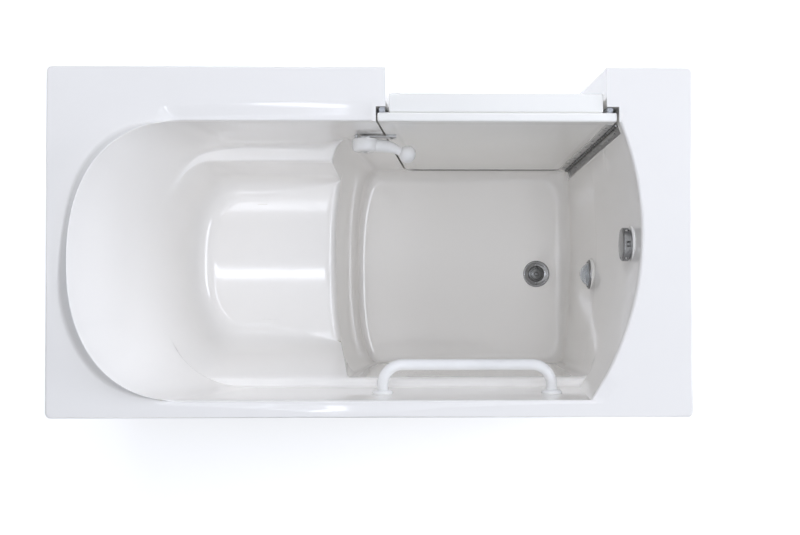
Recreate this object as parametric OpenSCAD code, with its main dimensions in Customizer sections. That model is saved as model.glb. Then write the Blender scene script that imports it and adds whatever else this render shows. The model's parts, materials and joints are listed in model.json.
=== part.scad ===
// Walk-in bathtub with a seat, a foot-well and an inward-opening door.
// Millimetres, +Z up. The door is in the -Y side, the seat and the headrest are towards +X and the
// foot-well is towards -X. The origin is on the floor under the middle of the tub.

/* [Tub] */
// Overall length
tub_l = 1400; // [1360:1:1520]
// Overall width
tub_w = 760; // [740:1:820]
// Height of the deck above the floor
deck_z = 960; // [930:1:1000]
// Wall of the moulded shell
shell_t = 6; // [4:0.5:6]
// Corner radius of the deck
deck_r = 12; // [4:1:16]
// Height of the deck's turned-down edge
edge_h = 40; // [30:1:60]
// Rise of the headrest above the deck
lip_h = 40; // [20:1:55]
// Deck width on the door side
front_ledge = 110; // [100:1:120]
// Deck width on the wall side
back_ledge = 37; // [37:1:60]
// Deck width at the foot end
foot_ledge = 112; // [100:1:130]
// Deck width at the head end, up to the crest of the headrest
head_ledge = 53; // [50:1:70]

/* [Basin] */
// Height of the foot-well floor
floor_z = 100; // [96:1:120]
// Height of the seat above the foot-well floor
seat_h = 430; // [400:1:450]
// Depth of the seat from its front edge to the backrest
seat_depth = 323; // [300:1:340]
// How far the backrest leans back between the seat and the crest
back_run = 237; // [200:1:250]
// How far the riser leans out between the seat and the floor
riser_run = 57; // [20:1:70]
// Depth of the armrest ledge below the deck
rest_drop = 250; // [235:1:265]
// Width of the armrest ledge on the door side
rest_front_w = 54; // [40:1:60]
// Width of the armrest ledge on the wall side
rest_back_w = 22; // [14:1:30]
// Corner radius of the foot-well floor
floor_r = 58; // [40:1:70]

/* [Door] */
// Lean of the door plane and its hinge, in degrees
lean = 2.2; // [1.5:0.1:2.6]
// Distance of the hinge axis from the foot end of the rim
hinge_set = 50; // [46:1:56]
// Width of the doorway at the deck
notch_w = 482; // [460:1:490]
// How much narrower the doorway is at its sill
notch_taper = 84; // [60:1:90]
// Height of the doorway below the deck
notch_h = 806; // [780:1:808]
// Corner radius at the sill
notch_r = 36; // [20:1:50]
// Running gap round the outer door skin
door_gap = 7; // [5:0.5:9]
// Overlap of the inner panel over the doorway
door_lap = 18; // [16:0.5:20]
// Gap round the inner panel
panel_gap = 5; // [4:0.5:6]
// Thickness of the inner panel
panel_t = 20; // [16:0.5:22]
// Thickness of the seal
seal_t = 12; // [9:0.5:13]
// Width of the seal
seal_w = 11; // [8:0.5:12]
// Thickness of the outer skin's pan, in front of the seal
skin_t = 24; // [18:0.5:28]
// Wall of the moulded door skins
skin_wall = 4; // [3:0.5:5]

/* [Hinge] */
// Length of one hinge knuckle
knuckle_l = 25.4; // [20:0.1:38]
// Number of knuckles
knuckle_n = 30; // [20:2:30]
// Outside diameter of a knuckle
knuckle_d = 7; // [6:0.5:7]
// Diameter of the hinge pin
pin_d = 3; // [2.5:0.1:3.5]
// Width of a hinge leaf
leaf_w = 20; // [16:0.5:22]
// Thickness of a hinge leaf
leaf_t = 1.2; // [1:0.1:1.6]
// Running clearance of a shaft in its bore
running = 0.05; // [0.03:0.01:0.08]

/* [Latch] */
// Depth of the lever's spindle below the deck
latch_drop = 200; // [190:1:210]
// Distance of the spindle beyond the edge of the inner panel
latch_reach = 47; // [44:1:50]
// Diameter of the lever hub
hub_d = 60; // [56:1:62]
// Thickness of the lever hub
hub_t = 30; // [26:1:32]
// Distance from the spindle to the knob
lever_l = 100; // [90:1:104]
// Diameter of the knob
knob_d = 40; // [36:1:42]
// Diameter of the spindle
spindle_d = 12; // [10:0.5:12]
// Distance from the spindle to the keeper stud
keeper_r = 20; // [19:0.5:21]

/* [Grab bar] */
// Distance between the two posts
bar_c = 380; // [340:1:400]
// Diameter of the tube
bar_d = 25; // [22:0.5:28]
// Distance of the tube's axis from the wall
bar_out = 65; // [60:1:70]
// Bend radius of the tube
bar_r = 45; // [38:1:48]
// Depth of the bar below the deck
bar_drop = 120; // [110:1:135]
// Distance of the bar's middle from the foot end of the rim
bar_set = 372; // [362:1:382]

/* [Waste and overflow] */
// Diameter of the drain flange
drain_d = 73; // [68:1:78]
// Distance of the drain from the foot end of the rim
drain_set = 125; // [118:1:140]
// Distance of the drain from the middle of the tub, towards the wall
drain_y = 54; // [40:1:60]
// Lift of the stopper
stopper_lift = 10; // [6:0.5:12]
// Outside diameter of the waste and overflow pipes
pipe_d = 40; // [38:0.5:42]
// Diameter of the overflow knob
over_d = 75; // [70:1:80]
// Depth of the overflow below the deck
over_drop = 100; // [90:1:110]
// Distance of the overflow from the deepest point of the foot end, towards the wall
over_side = 22; // [14:1:28]

/* [Light] */
// Diameter of the dome lens
lens_d = 60; // [52:1:62]
// Height of the dome lens
lens_h = 24; // [18:1:26]
// Height of the light above the floor
light_z = 460; // [430:1:480]
// Distance of the light from the deepest point of the foot end, towards the wall
light_side = 82; // [76:1:94]

/* [Frame] */
// Side of the square frame tube
rail = 25; // [20:1:25]
// Wall of the frame tube
rail_t = 2; // [1.5:0.5:2.5]
// Thickness of the floor and seat boards
board_t = 18; // [15:1:18]
// Thickness of the skirt panels
skirt_t = 3; // [2:0.5:3]
// Gap between the skirt panels and the floor
skirt_z = 12; // [6:1:20]
// Diameter of a foot pad
foot_d = 36; // [28:1:36]
// Diameter of a foot stud
stud_d = 10; // [8:1:12]

/* [Hidden] */
$fn = 48;

seat_clear = 0.3;    // gap that keeps curved or moving faces apart
fine = 0.1;          // clearance of a fastener in its hole, on the radius
over = 1;            // how far a cut runs past a face

// Basin, in plan
head_x = tub_l / 2 - head_ledge;
foot_x = foot_ledge - tub_l / 2;
back_y = tub_w / 2 - back_ledge;
front_y = front_ledge - tub_w / 2;
seat_z = floor_z + seat_h;
rest_z = deck_z - rest_drop;
crest_z = deck_z + lip_h;
crease_x = head_x - back_run;
seat_x = crease_x - seat_depth;
back_slope = back_run / (crest_z - seat_z);
side_slope = 16 / 290;                     // run over drop of the wall-side wall
side_lean = atan(side_slope);
foot_slope = 13 / 290;                     // run over drop of the foot-end wall
arc_y = front_y + 250;                     // level of the foot-end arc's centre
head_deep = 225;                           // depth of the D-shaped head end at the crest
seat_head_deep = 120;                      // depth of the D-shaped rear of the seat
head_power = 2.3;                          // fullness of the D
foot_corner_r = 90;                        // wall-side corner of the foot end
arm_front_run = 28;                        // run of the armrest walls down to the seat
arm_back_run = 74;
mouth_x = seat_x - 67;                     // where the seat space opens into the foot-well
well_foot_low = 10;                        // foot-end wall of the well beyond the hinge, at the bottom
cove = 34;                                 // height of the cove round the well floor

// Door, in a frame that leans with it: x from the hinge axis towards the latch, y into the tub,
// z up from the deck
hinge_x = foot_x + hinge_set;
hinge_y = front_y + 12;
face_y = -knuckle_d / 2;                   // inner face of the door and of the jamb
panel_y = face_y - panel_t;
seal_y = panel_y - seal_t;
step_y = seal_y - seat_clear;              // the jamb step that the seal meets
skin_y = seal_y - skin_t;
notch_x = 25;                              // hinge side of the doorway
taper = notch_taper / notch_h;
panel_x = 2;                               // hinge side of the inner panel
pocket_x = -2;
door_top = -2;
corner_x = hinge_x - 3;                    // corner of the basin beside the hinge
flange_w = 20;                             // front flange round the doorway
land_w = 26;                               // flat seat of the fixed hinge leaf
land_t = 8;
land_turn = -68;                           // turns the fixed leaf onto the foot-end wall

// Latch, in the door's frame
latch_z = -latch_drop;
panel_edge = notch_x + notch_w + door_lap;
latch_x = panel_edge + latch_z * taper + latch_reach;
plate_y = face_y + 2.5;                    // back of the latch plate, clear of the wall
plate_t = 3;
cam_y = plate_y + plate_t + seat_clear;
cam_t = 2.5;
hub_y = cam_y + cam_t + 0.8;
keeper_head_t = 2;

// Frame and boards
half_l = tub_l / 2 - shell_t;              // outer faces of the frame
half_w = tub_w / 2 - shell_t;
post_x = half_l - rail / 2;
post_y = half_w - rail / 2;
base_top = floor_z - shell_t - board_t;    // top of the base rails
base_z = base_top - rail;
latch_post_x = hinge_x + panel_edge + 37 + rail / 2;
hinge_post_x = corner_x - 8 - rail / 2;
seat_rail_z = seat_z - shell_t - board_t - rail;
seat_rail_x1 = seat_x + 70;
seat_rail_x2 = crease_x - 40;
top_rail_z = deck_z - shell_t - rail;
screw_z1 = base_z + rail / 2;
screw_z2 = deck_z - 80;
foot_xs = [-post_x + 35, -30, post_x - 35];
skirt_top = deck_z - edge_h - 0.5;

// Waste, overflow and light
over_y = arc_y + over_side;
light_y = arc_y + light_side;
drain_x = foot_x + drain_set;
pipe_t = 2.5;
pipe_z = base_z - 2;                       // axis of the horizontal waste pipe
tee_x = foot_x - 38;
waste_turn = atan2(over_y - drain_y, tee_x - drain_x);
waste_run = norm([over_y - drain_y, tee_x - drain_x]);
over_z = deck_z - over_drop;
over_face = foot_x + 8;                    // flat pad that the overflow sits on
light_face = foot_x + 35;                  // flat pad that the light sits on
tail_d = 45;                               // drain tailpiece
socket_z = pipe_d / 2 + 3;                 // start of the tee's sockets, from its middle
pad_t = 14;

// ---- plan outlines -------------------------------------------------------------------------

function arc(cx, cy, r, a0, a1, n) =
  [for (i = [0:n]) let (a = a0 + (a1 - a0) * i / n) [cx + r * cos(a), cy + r * sin(a)]];

function bulge(cx, cy, a, b, n) =
  [for (i = [0:n])
    let (t = -90 + 180 * i / n, c = cos(t), s = sin(t))
    [cx + a * pow(abs(c), 2 / head_power), cy + b * sign(s) * pow(abs(s), 2 / head_power)]];

// A polygon with each corner rounded to its own radius.
function unit(v) = v / norm(v);
function corner(p, a, b, r, n = 8) =
  r == 0 ? [p] :
  let (u = unit(a - p), v = unit(b - p), half = acos(u * v) / 2,
       c = p + unit(u + v) * r / sin(half),
       s = p + u * r / tan(half) - c, e = p + v * r / tan(half) - c,
       a0 = atan2(s[1], s[0]), d = atan2(e[1], e[0]) - a0,
       turn = d > 180 ? d - 360 : d < -180 ? d + 360 : d)
  [for (i = [0:n]) c + r * [cos(a0 + turn * i / n), sin(a0 + turn * i / n)]];
function rounded(pts, rs) =
  let (m = len(pts))
  [for (i = [0:m - 1]) each corner(pts[i], pts[(i + m - 1) % m], pts[(i + 1) % m], rs[i])];

// Where the basin walls stand at a height.
function front_at(z) = hinge_y + face_y + (deck_z - z) * tan(lean);
function back_at(z) = back_y + 2 - (crest_z - z) * side_slope;
function foot_at(z) = foot_x - 2 + (crest_z - z) * foot_slope;
function head_at(z) = head_x - (crest_z - z) * back_slope;

// One level of the basin, grown by g: a D at the head and a shallow arc at the foot.
module level(z, hx, fx, y0, y1, deep, g = 0, rb = foot_corner_r, rf = 0.5) {
  cy = (y0 + y1) / 2;
  sag = corner_x - fx;
  rise = arc_y - y0;
  r = (rise * rise + sag * sag) / (2 * max(sag, 3));
  translate([0, 0, z]) linear_extrude(1) intersection() {
    polygon(concat(
      bulge(hx - deep, cy, deep + g, (y1 - y0) / 2 + g, 28),
      arc(fx + rb, y1 - rb, rb + g, 90, 180, 8),
      arc(fx + rf, y0 + rf, rf + g, 180, 270, 4)));
    if (sag > 3) translate([fx + r, arc_y]) circle(r = r + g, $fn = 180);
    else translate([fx - over - g, y0 - g - over]) square([tub_l, tub_w]);
  }
}

// The space above the armrest ledge.
module upper_space(g = 0, top = crest_z + 4) {
  hull() {
    level(top, head_at(top), foot_at(top), front_at(top), back_at(top), head_deep, g);
    level(rest_z - g, head_at(rest_z), foot_at(rest_z), front_at(rest_z), back_at(rest_z),
          head_deep, g);
  }
}

// The space between the armrests, over the seat.
module seat_space(g = 0) {
  y0 = front_at(rest_z) + rest_front_w;
  y1 = back_at(rest_z) - rest_back_w;
  hull() {
    level(rest_z, head_at(rest_z) - 12, mouth_x, y0, y1, seat_head_deep, g, 1);
    level(seat_z - g, crease_x + 15, mouth_x, y0 + arm_front_run, y1 - arm_back_run,
          seat_head_deep, g, 1);
  }
}

// The foot-well.
module well_space(g = 0) {
  y1 = back_at(rest_z) - rest_back_w;
  top_x = seat_x + riser_run * (rest_z - seat_z) / seat_h;
  low_x = seat_x - riser_run;
  hull() {
    level(rest_z, top_x, foot_at(rest_z) + 12, front_at(rest_z), y1, 60, g, foot_corner_r - 8);
    level(floor_z + cove, low_x + 7, corner_x - well_foot_low, front_at(floor_z + cove), y1 - 6,
          60, g, 50);
    level(floor_z - g, low_x, corner_x + 13, front_at(floor_z) + 20, y1 - 7, floor_r, g, floor_r,
          floor_r);
  }
}

// The raised headrest: its crest climbs from the deck beside the seat to its peak at the head.
module headrest() {
  start_x = head_x - 217;
  cy = (front_y + back_y) / 2;
  b = (back_y - front_y) / 2;
  climb = atan(lip_h / (head_x - start_x));
  hull() {
    translate([0, 0, deck_z - shell_t]) linear_extrude(shell_t)
      polygon(bulge(start_x, cy, head_x + 28 - start_x, b, 28));
    translate([start_x, 0, deck_z]) rotate([0, -climb, 0]) translate([0, 0, -1]) linear_extrude(1)
      polygon(bulge(0, cy, (head_x + 4 - start_x) / cos(climb), b + 3, 28));
  }
}

module deck() {
  linear_extrude(shell_t) rounded_rect(tub_l, tub_w, deck_r);
}

module rounded_rect(l, w, r) {
  polygon(rounded([[-l / 2, -w / 2], [l / 2, -w / 2], [l / 2, w / 2], [-l / 2, w / 2]],
                  [r, r, r, r]));
}

module deck_edge() {
  linear_extrude(edge_h) difference() {
    rounded_rect(tub_l, tub_w, deck_r);
    rounded_rect(tub_l - 2 * shell_t, tub_w - 2 * shell_t, 0);
  }
}

// ---- door frame of reference -----------------------------------------------------------------

module door_frame() {
  translate([hinge_x, hinge_y, deck_z]) rotate([lean, 0, 0]) children();
}

// An outline like the doorway's, grown by its own amount on each side.
function doorway(hinge_g, latch_g, low_g, top, r) =
  let (x0 = notch_x - hinge_g, x1 = notch_x + notch_w + latch_g, z0 = -notch_h - low_g)
  rounded([[x0, top], [x0, z0], [x1 + z0 * taper, z0], [x1 + top * taper, top]], [0, r, r, 0]);

module door_prism(pts, y0, y1) {
  translate([0, y1, 0]) rotate([90, 0, 0]) linear_extrude(y1 - y0) polygon(pts);
}

hinge_lap = notch_x - panel_x;
pocket_lap = notch_x - pocket_x;

module jamb() {
  intersection() {
    door_frame() union() {
      door_prism(doorway(pocket_lap + shell_t, door_lap + panel_gap + shell_t,
                         door_lap + panel_gap + shell_t, 50, notch_r + 12), step_y - shell_t, face_y);
      door_prism(doorway(shell_t, shell_t, shell_t, 50, notch_r + shell_t), -160, step_y);
    }
    translate([-tub_l / 2, -tub_w / 2, base_z]) cube([tub_l, tub_w, deck_z - base_z]);
  }
  intersection() {
    door_frame() door_prism(doorway(flange_w, flange_w, flange_w, 50, 0), -170, -90);
    translate([-tub_l / 2, -tub_w / 2, base_z]) cube([tub_l, shell_t, deck_z - base_z]);
  }
}

module jamb_cut() {
  door_frame() {
    door_prism(doorway(0, 0, 0, 80, notch_r), -200, step_y + over);
    door_prism(doorway(pocket_lap, door_lap + panel_gap, door_lap + panel_gap, 80, notch_r + 6),
               step_y, face_y + over);
  }
}

// The fixed hinge leaf lies on a flat land on the foot-end wall, turned from the door's plane.
module land_frame() {
  door_frame() rotate([0, 0, land_turn]) children();
}

hinge_top = -34;
hinge_len = knuckle_n * knuckle_l;

module hinge_land() {
  land_frame() translate([-land_w, face_y - land_t, hinge_top - hinge_len - 6])
    cube([land_w - 2, land_t, hinge_len + 12]);
}

module hinge_recess() {
  land_frame() translate([-land_w, face_y, hinge_top - hinge_len - 6])
    cube([land_w + 6, 14, hinge_len + 12]);
}

// Places for the screws of a hinge leaf.
module leaf_screws_at(x) {
  pitch = hinge_len / 8;
  for (i = [0:7])
    translate([x, face_y + leaf_t, hinge_top - pitch * (i + 0.5)]) rotate([-90, 0, 0]) children();
}

module wall_x(x, y, z) {
  translate([x, y, z]) rotate([0, 90, 0]) children();
}

// Places on the latch, with z along the spindle into the tub.
module latch_frame() {
  door_frame() translate([latch_x, 0, latch_z]) rotate([-90, 0, 0]) children();
}

// Places on the wall-side wall, with y out of the basin wall.
module back_frame(x, z) {
  translate([x, back_at(z), z]) rotate([-side_lean, 0, 0]) children();
}

bar_z = deck_z - bar_drop;
bar_x = -foot_x - bar_set;

module bar_ends() {
  for (s = [-1, 1]) translate([s * bar_c / 2, 0, 0]) rotate([-90, 0, 0]) children();
}

// ---- tub -------------------------------------------------------------------------------------

module tub_shell() color("white") {
  difference() {
    union() {
      difference() {
        union() {
          translate([0, 0, deck_z - shell_t]) deck();
          translate([0, 0, deck_z - edge_h]) deck_edge();
          headrest();
          upper_space(shell_t, deck_z - shell_t + over);
          seat_space(shell_t);
          well_space(shell_t);
        }
        upper_space();
        seat_space();
        well_space();
      }
      jamb();
      hinge_land();
      wall_x(over_face - pad_t, over_y, over_z) cylinder(d = over_d + 12, h = pad_t);
      wall_x(light_face - pad_t, light_y, light_z) cylinder(d = lens_d + 20, h = pad_t);
    }
    jamb_cut();
    hinge_recess();
    land_frame() leaf_screws_at(-leaf_w * 0.62) translate([0, 0, -12]) cylinder(d = 3.7, h = 14);
    wall_x(over_face - 30, over_y, over_z) cylinder(d = 50, h = 40);
    wall_x(light_face - 30, light_y, light_z) cylinder(d = 36, h = 40);
    latch_frame() translate([keeper_r, 0, face_y - 20]) cylinder(d = 6.4, h = 30);
    back_frame(-bar_x, bar_z) bar_ends() translate([0, 0, -20]) cylinder(d = 9, h = 40);
    translate([drain_x, drain_y, floor_z - 20]) cylinder(d = tail_d + 1, h = 40);
  }
}

module floor_board() color("burlywood") difference() {
  translate([corner_x + 30, front_at(floor_z) + 30, base_top])
    cube([seat_x - riser_run - corner_x - 50, back_at(rest_z) - rest_back_w - front_at(floor_z) - 60,
          board_t]);
  translate([drain_x, drain_y, base_top - over]) cylinder(d = 80, h = board_t + 2 * over);
}

module seat_board() color("burlywood")
  translate([seat_x + 20, front_at(rest_z) + rest_front_w + arm_front_run + 10,
             seat_rail_z + rail])
    cube([seat_depth - 40,
          back_at(rest_z) - rest_back_w - arm_back_run - front_at(rest_z) - rest_front_w
          - arm_front_run - 20, board_t]);

// ---- frame -----------------------------------------------------------------------------------

module tube_x(l) {
  difference() {
    cube([l, rail, rail]);
    translate([-over, rail_t, rail_t]) cube([l + 2 * over, rail - 2 * rail_t, rail - 2 * rail_t]);
  }
}

module tube_y(l) {
  difference() {
    cube([rail, l, rail]);
    translate([rail_t, -over, rail_t]) cube([rail - 2 * rail_t, l + 2 * over, rail - 2 * rail_t]);
  }
}

module tube_z(l) {
  difference() {
    cube([rail, rail, l]);
    translate([rail_t, rail_t, -over]) cube([rail - 2 * rail_t, rail - 2 * rail_t, l + 2 * over]);
  }
}

module feet_at() {
  for (x = foot_xs, y = [-post_y, post_y]) translate([x, y, 0]) children();
}

// Screws through the skirt panels into the frame, each pointing out of its panel.
front_screws = [[post_x, screw_z1], [post_x, screw_z2], [latch_post_x, screw_z1],
                [latch_post_x, screw_z2], [-post_x, screw_z1], [-post_x, screw_z2],
                [hinge_x - 60, screw_z1], [hinge_x + 90, screw_z1], [hinge_x + 340, screw_z1]];
module panel_screws_at() {
  for (p = front_screws) translate([p[0], -half_w, p[1]]) rotate([90, 0, 0]) children();
  for (s = [-1, 1], y = [-post_y, post_y], z = [screw_z1, screw_z2])
    translate([s * half_l, y, z]) rotate([0, s * 90, 0]) children();
}

module screw_cut() {
  panel_screws_at() translate([0, 0, -12]) cylinder(d = 4 + 2 * fine, h = 12 + skirt_t + over);
}

module frame_long_rails() color("gray") difference() {
  for (y = [-half_w, half_w - rail]) translate([-half_l, y, base_z]) tube_x(2 * half_l);
  feet_at() cylinder(d = stud_d + 2 * fine, h = base_z + rail_t + over);
  screw_cut();
}

module frame_cross_rails() color("gray")
  for (x = [-half_l, drain_x + 35, drain_x + 290, latch_post_x + rail / 2, half_l - rail])
    translate([x, rail - half_w, base_z]) tube_y(2 * half_w - 2 * rail);

module frame_posts() color("gray") difference() {
  union() {
    for (x = [-half_l, half_l - rail], y = [-half_w, half_w - rail])
      translate([x, y, base_top]) tube_z(top_rail_z - base_top);
    for (x = [latch_post_x, hinge_post_x]) translate([x - rail / 2, -half_w, base_top])
      tube_z(top_rail_z - base_top);
    translate([latch_post_x - rail / 2, half_w - rail, base_top]) tube_z(top_rail_z - base_top);
  }
  screw_cut();
}

module frame_top_rails() color("gray") {
  translate([-half_l, half_w - rail, top_rail_z]) tube_x(2 * half_l);
  translate([-half_l, -half_w, top_rail_z]) tube_x(hinge_post_x + rail / 2 + half_l);
  translate([latch_post_x - rail / 2, -half_w, top_rail_z]) tube_x(half_l - latch_post_x + rail / 2);
}

module frame_top_cross_rails() color("gray") for (x = [-half_l, half_l - rail])
  translate([x, rail - half_w, top_rail_z]) tube_y(2 * half_w - 2 * rail);

// Two rails on the floor of the frame, and on their legs two bearers under the seat.
seat_ys = [front_at(rest_z) + rest_front_w + 16,
           back_at(rest_z) - rest_back_w - arm_back_run - rail - 16];
module seat_base_rails() color("gray") for (y = seat_ys)
  translate([latch_post_x + rail * 1.5, y, base_z]) tube_x(half_l - latch_post_x - 2.5 * rail);

module seat_rails() color("gray") for (x = [seat_rail_x1, seat_rail_x2])
  translate([x, seat_ys[0], seat_rail_z]) tube_y(seat_ys[1] + rail - seat_ys[0]);

module seat_legs() color("gray") for (x = [seat_rail_x1, seat_rail_x2], y = seat_ys)
  translate([x, y, base_top]) tube_z(seat_rail_z - base_top);

module levelling_feet() color("dimgray") feet_at() union() {
  cylinder(d = foot_d, h = 8);
  translate([0, 0, 8]) cylinder(d1 = foot_d - 14, d2 = stud_d + 8, h = 6);
  cylinder(d = stud_d, h = base_z + rail - 2 * rail_t);
}

module foot_lock_nuts() color("silver") feet_at() translate([0, 0, base_z - 8]) difference() {
  cylinder(d = 20, h = 8, $fn = 6);
  translate([0, 0, -over]) cylinder(d = stud_d + 2 * fine, h = 10);
}

// ---- skirt panels ----------------------------------------------------------------------------

// Outer edges of the front flange round the doorway, at a height.
function flange_hinge() = hinge_x + notch_x - flange_w;
function flange_latch(z) = hinge_x + notch_x + notch_w + flange_w + (z - deck_z) / cos(lean) * taper;
sill_z = deck_z - (notch_h + flange_w) * cos(lean) - 6;

module skirt_front(pts) {
  translate([0, -half_w, 0]) rotate([90, 0, 0]) linear_extrude(skirt_t) polygon(pts);
}

module front_panel_head() color("white") difference() {
  skirt_front([[flange_latch(skirt_z) + 2, skirt_z], [half_l, skirt_z], [half_l, skirt_top],
               [flange_latch(skirt_top) + 2, skirt_top]]);
  screw_cut();
}

module front_panel_foot() color("white") difference() {
  skirt_front([[-half_l, skirt_z], [flange_hinge() - 2, skirt_z], [flange_hinge() - 2, skirt_top],
               [-half_l, skirt_top]]);
  screw_cut();
}

module threshold_panel() color("white") difference() {
  skirt_front([[flange_hinge() - 1, skirt_z], [flange_latch(skirt_z) + 1, skirt_z],
               [flange_latch(sill_z) + 1, sill_z], [flange_hinge() - 1, sill_z]]);
  screw_cut();
}

module end_panel(s) difference() {
  translate([s > 0 ? half_l : -half_l - skirt_t, -half_w, skirt_z])
    cube([skirt_t, 2 * half_w, skirt_top - skirt_z]);
  screw_cut();
}
module end_panel_head() color("white") end_panel(1);
module end_panel_foot() color("white") end_panel(-1);

module panel_screws() color("silver") panel_screws_at() union() {
  translate([0, 0, -10]) cylinder(d = 4, h = 10 + skirt_t);
  translate([0, 0, skirt_t]) cylinder(d = 9, h = 2);
}

// ---- door ------------------------------------------------------------------------------------

module door_outer_skin() color("white") door_frame() difference() {
  door_prism(doorway(-door_gap, -door_gap, -door_gap, door_top, notch_r - 6), skin_y, panel_y);
  door_prism(doorway(-door_gap - skin_wall, -door_gap - skin_wall, -door_gap - skin_wall,
                     door_top - skin_wall, notch_r - 10), skin_y + skin_wall, panel_y + over);
}

core_in = door_gap + skin_wall + seat_clear;
module door_core() color("khaki") door_frame()
  door_prism(doorway(-core_in, -core_in, -core_in, door_top - skin_wall - seat_clear, notch_r - 10),
             skin_y + skin_wall + seat_clear, panel_y - seat_clear);

module door_inner_panel() color("gainsboro") door_frame() difference() {
  door_prism(doorway(hinge_lap, door_lap, door_lap, door_top, notch_r + 8), panel_y, face_y);
  door_prism(doorway(-30, -50, -30, door_top - 30, notch_r - 10), panel_y - over,
             face_y - skin_wall - 2);
  leaf_screws_at(leaf_w * 0.62) translate([0, 0, -12]) cylinder(d = 3.7, h = 14);
  translate([latch_x, 0, latch_z]) rotate([-90, 0, 0]) plate_screws_at()
    translate([0, 0, -20]) cylinder(d = 4 + 2 * fine, h = 30);
}

module door_seal() color("lightgray") door_frame() difference() {
  door_prism(doorway(2 + seal_w, 2 + seal_w, 2 + seal_w, door_top, notch_r + 6), seal_y, panel_y);
  door_prism(doorway(2, 2, 2, door_top + over, notch_r), seal_y - over, panel_y + over);
}

// ---- hinge -----------------------------------------------------------------------------------

// The knuckles of one leaf: every second one, with a tab to a leaf on the side s.
module knuckles(first, s) {
  for (i = [first:2:knuckle_n - 1])
    translate([0, 0, hinge_top - knuckle_l * (i + 1) + seat_clear / 2]) difference() {
      union() {
        cylinder(d = knuckle_d, h = knuckle_l - seat_clear, $fn = 32);
        translate([s > 0 ? 0 : -knuckle_d / 2 - 1, face_y, 0])
          cube([knuckle_d / 2 + 1, leaf_t, knuckle_l - seat_clear]);
      }
      translate([0, 0, -over]) cylinder(d = pin_d + 2 * running, h = knuckle_l + 2 * over, $fn = 32);
    }
}

module leaf(s) {
  inner = knuckle_d / 2 + seat_clear;
  difference() {
    translate([s > 0 ? inner : -leaf_w, face_y, hinge_top - hinge_len])
      cube([leaf_w - inner, leaf_t, hinge_len]);
    leaf_screws_at(s * leaf_w * 0.62) translate([0, 0, -4]) cylinder(d = 3.7, h = 8);
  }
}

module door_hinge_leaf() color("silver") door_frame() union() {
  leaf(1);
  knuckles(1, 1);
}

module jamb_hinge_leaf() color("silver") land_frame() union() {
  leaf(-1);
  knuckles(0, -1);
}

module hinge_pin() color("silver") door_frame() union() {
  translate([0, 0, hinge_top - hinge_len - 2]) cylinder(d = pin_d, h = hinge_len + 4, $fn = 32);
  for (z = [hinge_top + seat_clear, hinge_top - hinge_len - 2 - seat_clear])
    translate([0, 0, z]) cylinder(d = pin_d + 2, h = 2, $fn = 32);
}

module leaf_screw() union() {
  translate([0, 0, -10]) cylinder(d = 3.5, h = 10);
  cylinder(d1 = 6.6, d2 = 5, h = 1.2);
}
module door_hinge_screws() color("silver") door_frame() leaf_screws_at(leaf_w * 0.62) leaf_screw();
module jamb_hinge_screws() color("silver") land_frame() leaf_screws_at(-leaf_w * 0.62) leaf_screw();

// ---- latch -----------------------------------------------------------------------------------

plate_end = latch_reach + 25;              // length of the plate from the spindle
module plate_screws_at() {
  for (z = [-9, 9]) translate([-plate_end + 10, z, 0]) children();
}

module latch_plate() color("silver") latch_frame() difference() {
  union() {
    translate([0, 0, plate_y]) cylinder(r = 14, h = plate_t);
    translate([-plate_end, -14, plate_y]) cube([plate_end, 28, plate_t]);
    translate([-plate_end, -14, face_y]) cube([22, 28, plate_y - face_y + over]);
  }
  translate([0, 0, plate_y - over]) cylinder(d = spindle_d + 2 * running, h = plate_t + 2 * over);
  plate_screws_at() translate([0, 0, face_y - over]) cylinder(d = 4 + 2 * fine, h = 20);
}

module latch_plate_screws() color("silver") latch_frame() plate_screws_at() union() {
  translate([0, 0, face_y - 14]) cylinder(d = 4, h = plate_y + plate_t - face_y + 14);
  translate([0, 0, plate_y + plate_t]) cylinder(d1 = 8, d2 = 6, h = 2);
}

module lever_spindle() color("silver") latch_frame() difference() {
  union() {
    translate([0, 0, plate_y - seat_clear]) cylinder(d = spindle_d, h = hub_y + hub_t - 6 - plate_y);
    translate([0, 0, plate_y - seat_clear - 1.2]) cylinder(d = spindle_d + 5, h = 1.2);
  }
  translate([0, 0, hub_y + 6]) cylinder(d = 5 + 2 * fine, h = hub_t);
}

// A claw on the spindle: its slot turns under the keeper's head.
module latch_cam() color("silver") latch_frame() translate([0, 0, cam_y]) difference() {
  union() {
    cylinder(r = 12, h = cam_t);
    linear_extrude(cam_t) polygon(concat([[0, 0]], arc(0, 0, keeper_r + 6, -58, -118, 12)));
  }
  translate([0, 0, -over]) cylinder(d = spindle_d + 2 * fine, h = cam_t + 2 * over);
  translate([0, 0, -over]) linear_extrude(cam_t + 2 * over)
    polygon(concat(arc(0, 0, keeper_r + 3.8, -50, -102, 12), arc(0, 0, keeper_r - 3.8, -102, -50, 12)));
}

lever_tilt = 8;                            // turns the arm away from the wall
arm_end = lever_l - knob_d / 2 + 2;
module lever_axis() {
  translate([0, 0, hub_y + hub_t / 2 + 3]) rotate([0, lever_tilt - 90, 0]) children();
}

module latch_lever() color("whitesmoke") latch_frame() difference() {
  union() {
    translate([0, 0, hub_y]) cylinder(d = hub_d, h = hub_t);
    lever_axis() {
      translate([0, 0, hub_d / 2 - 8]) cylinder(d1 = hub_t - 6, d2 = 15, h = arm_end - hub_d / 2 + 8);
      cylinder(d = 8, h = arm_end + 12);
    }
  }
  translate([0, 0, hub_y - over]) cylinder(d = spindle_d + 2 * fine, h = hub_t - 5 + over);
  translate([0, 0, hub_y + hub_t - 5]) cylinder(d = 16, h = 6);
  translate([0, 0, hub_y - over]) difference() {
    cylinder(r = hub_d / 2 - 2.5, h = 3.5);
    translate([0, 0, -over]) cylinder(r = spindle_d / 2 + 4, h = 6);
  }
}

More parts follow.
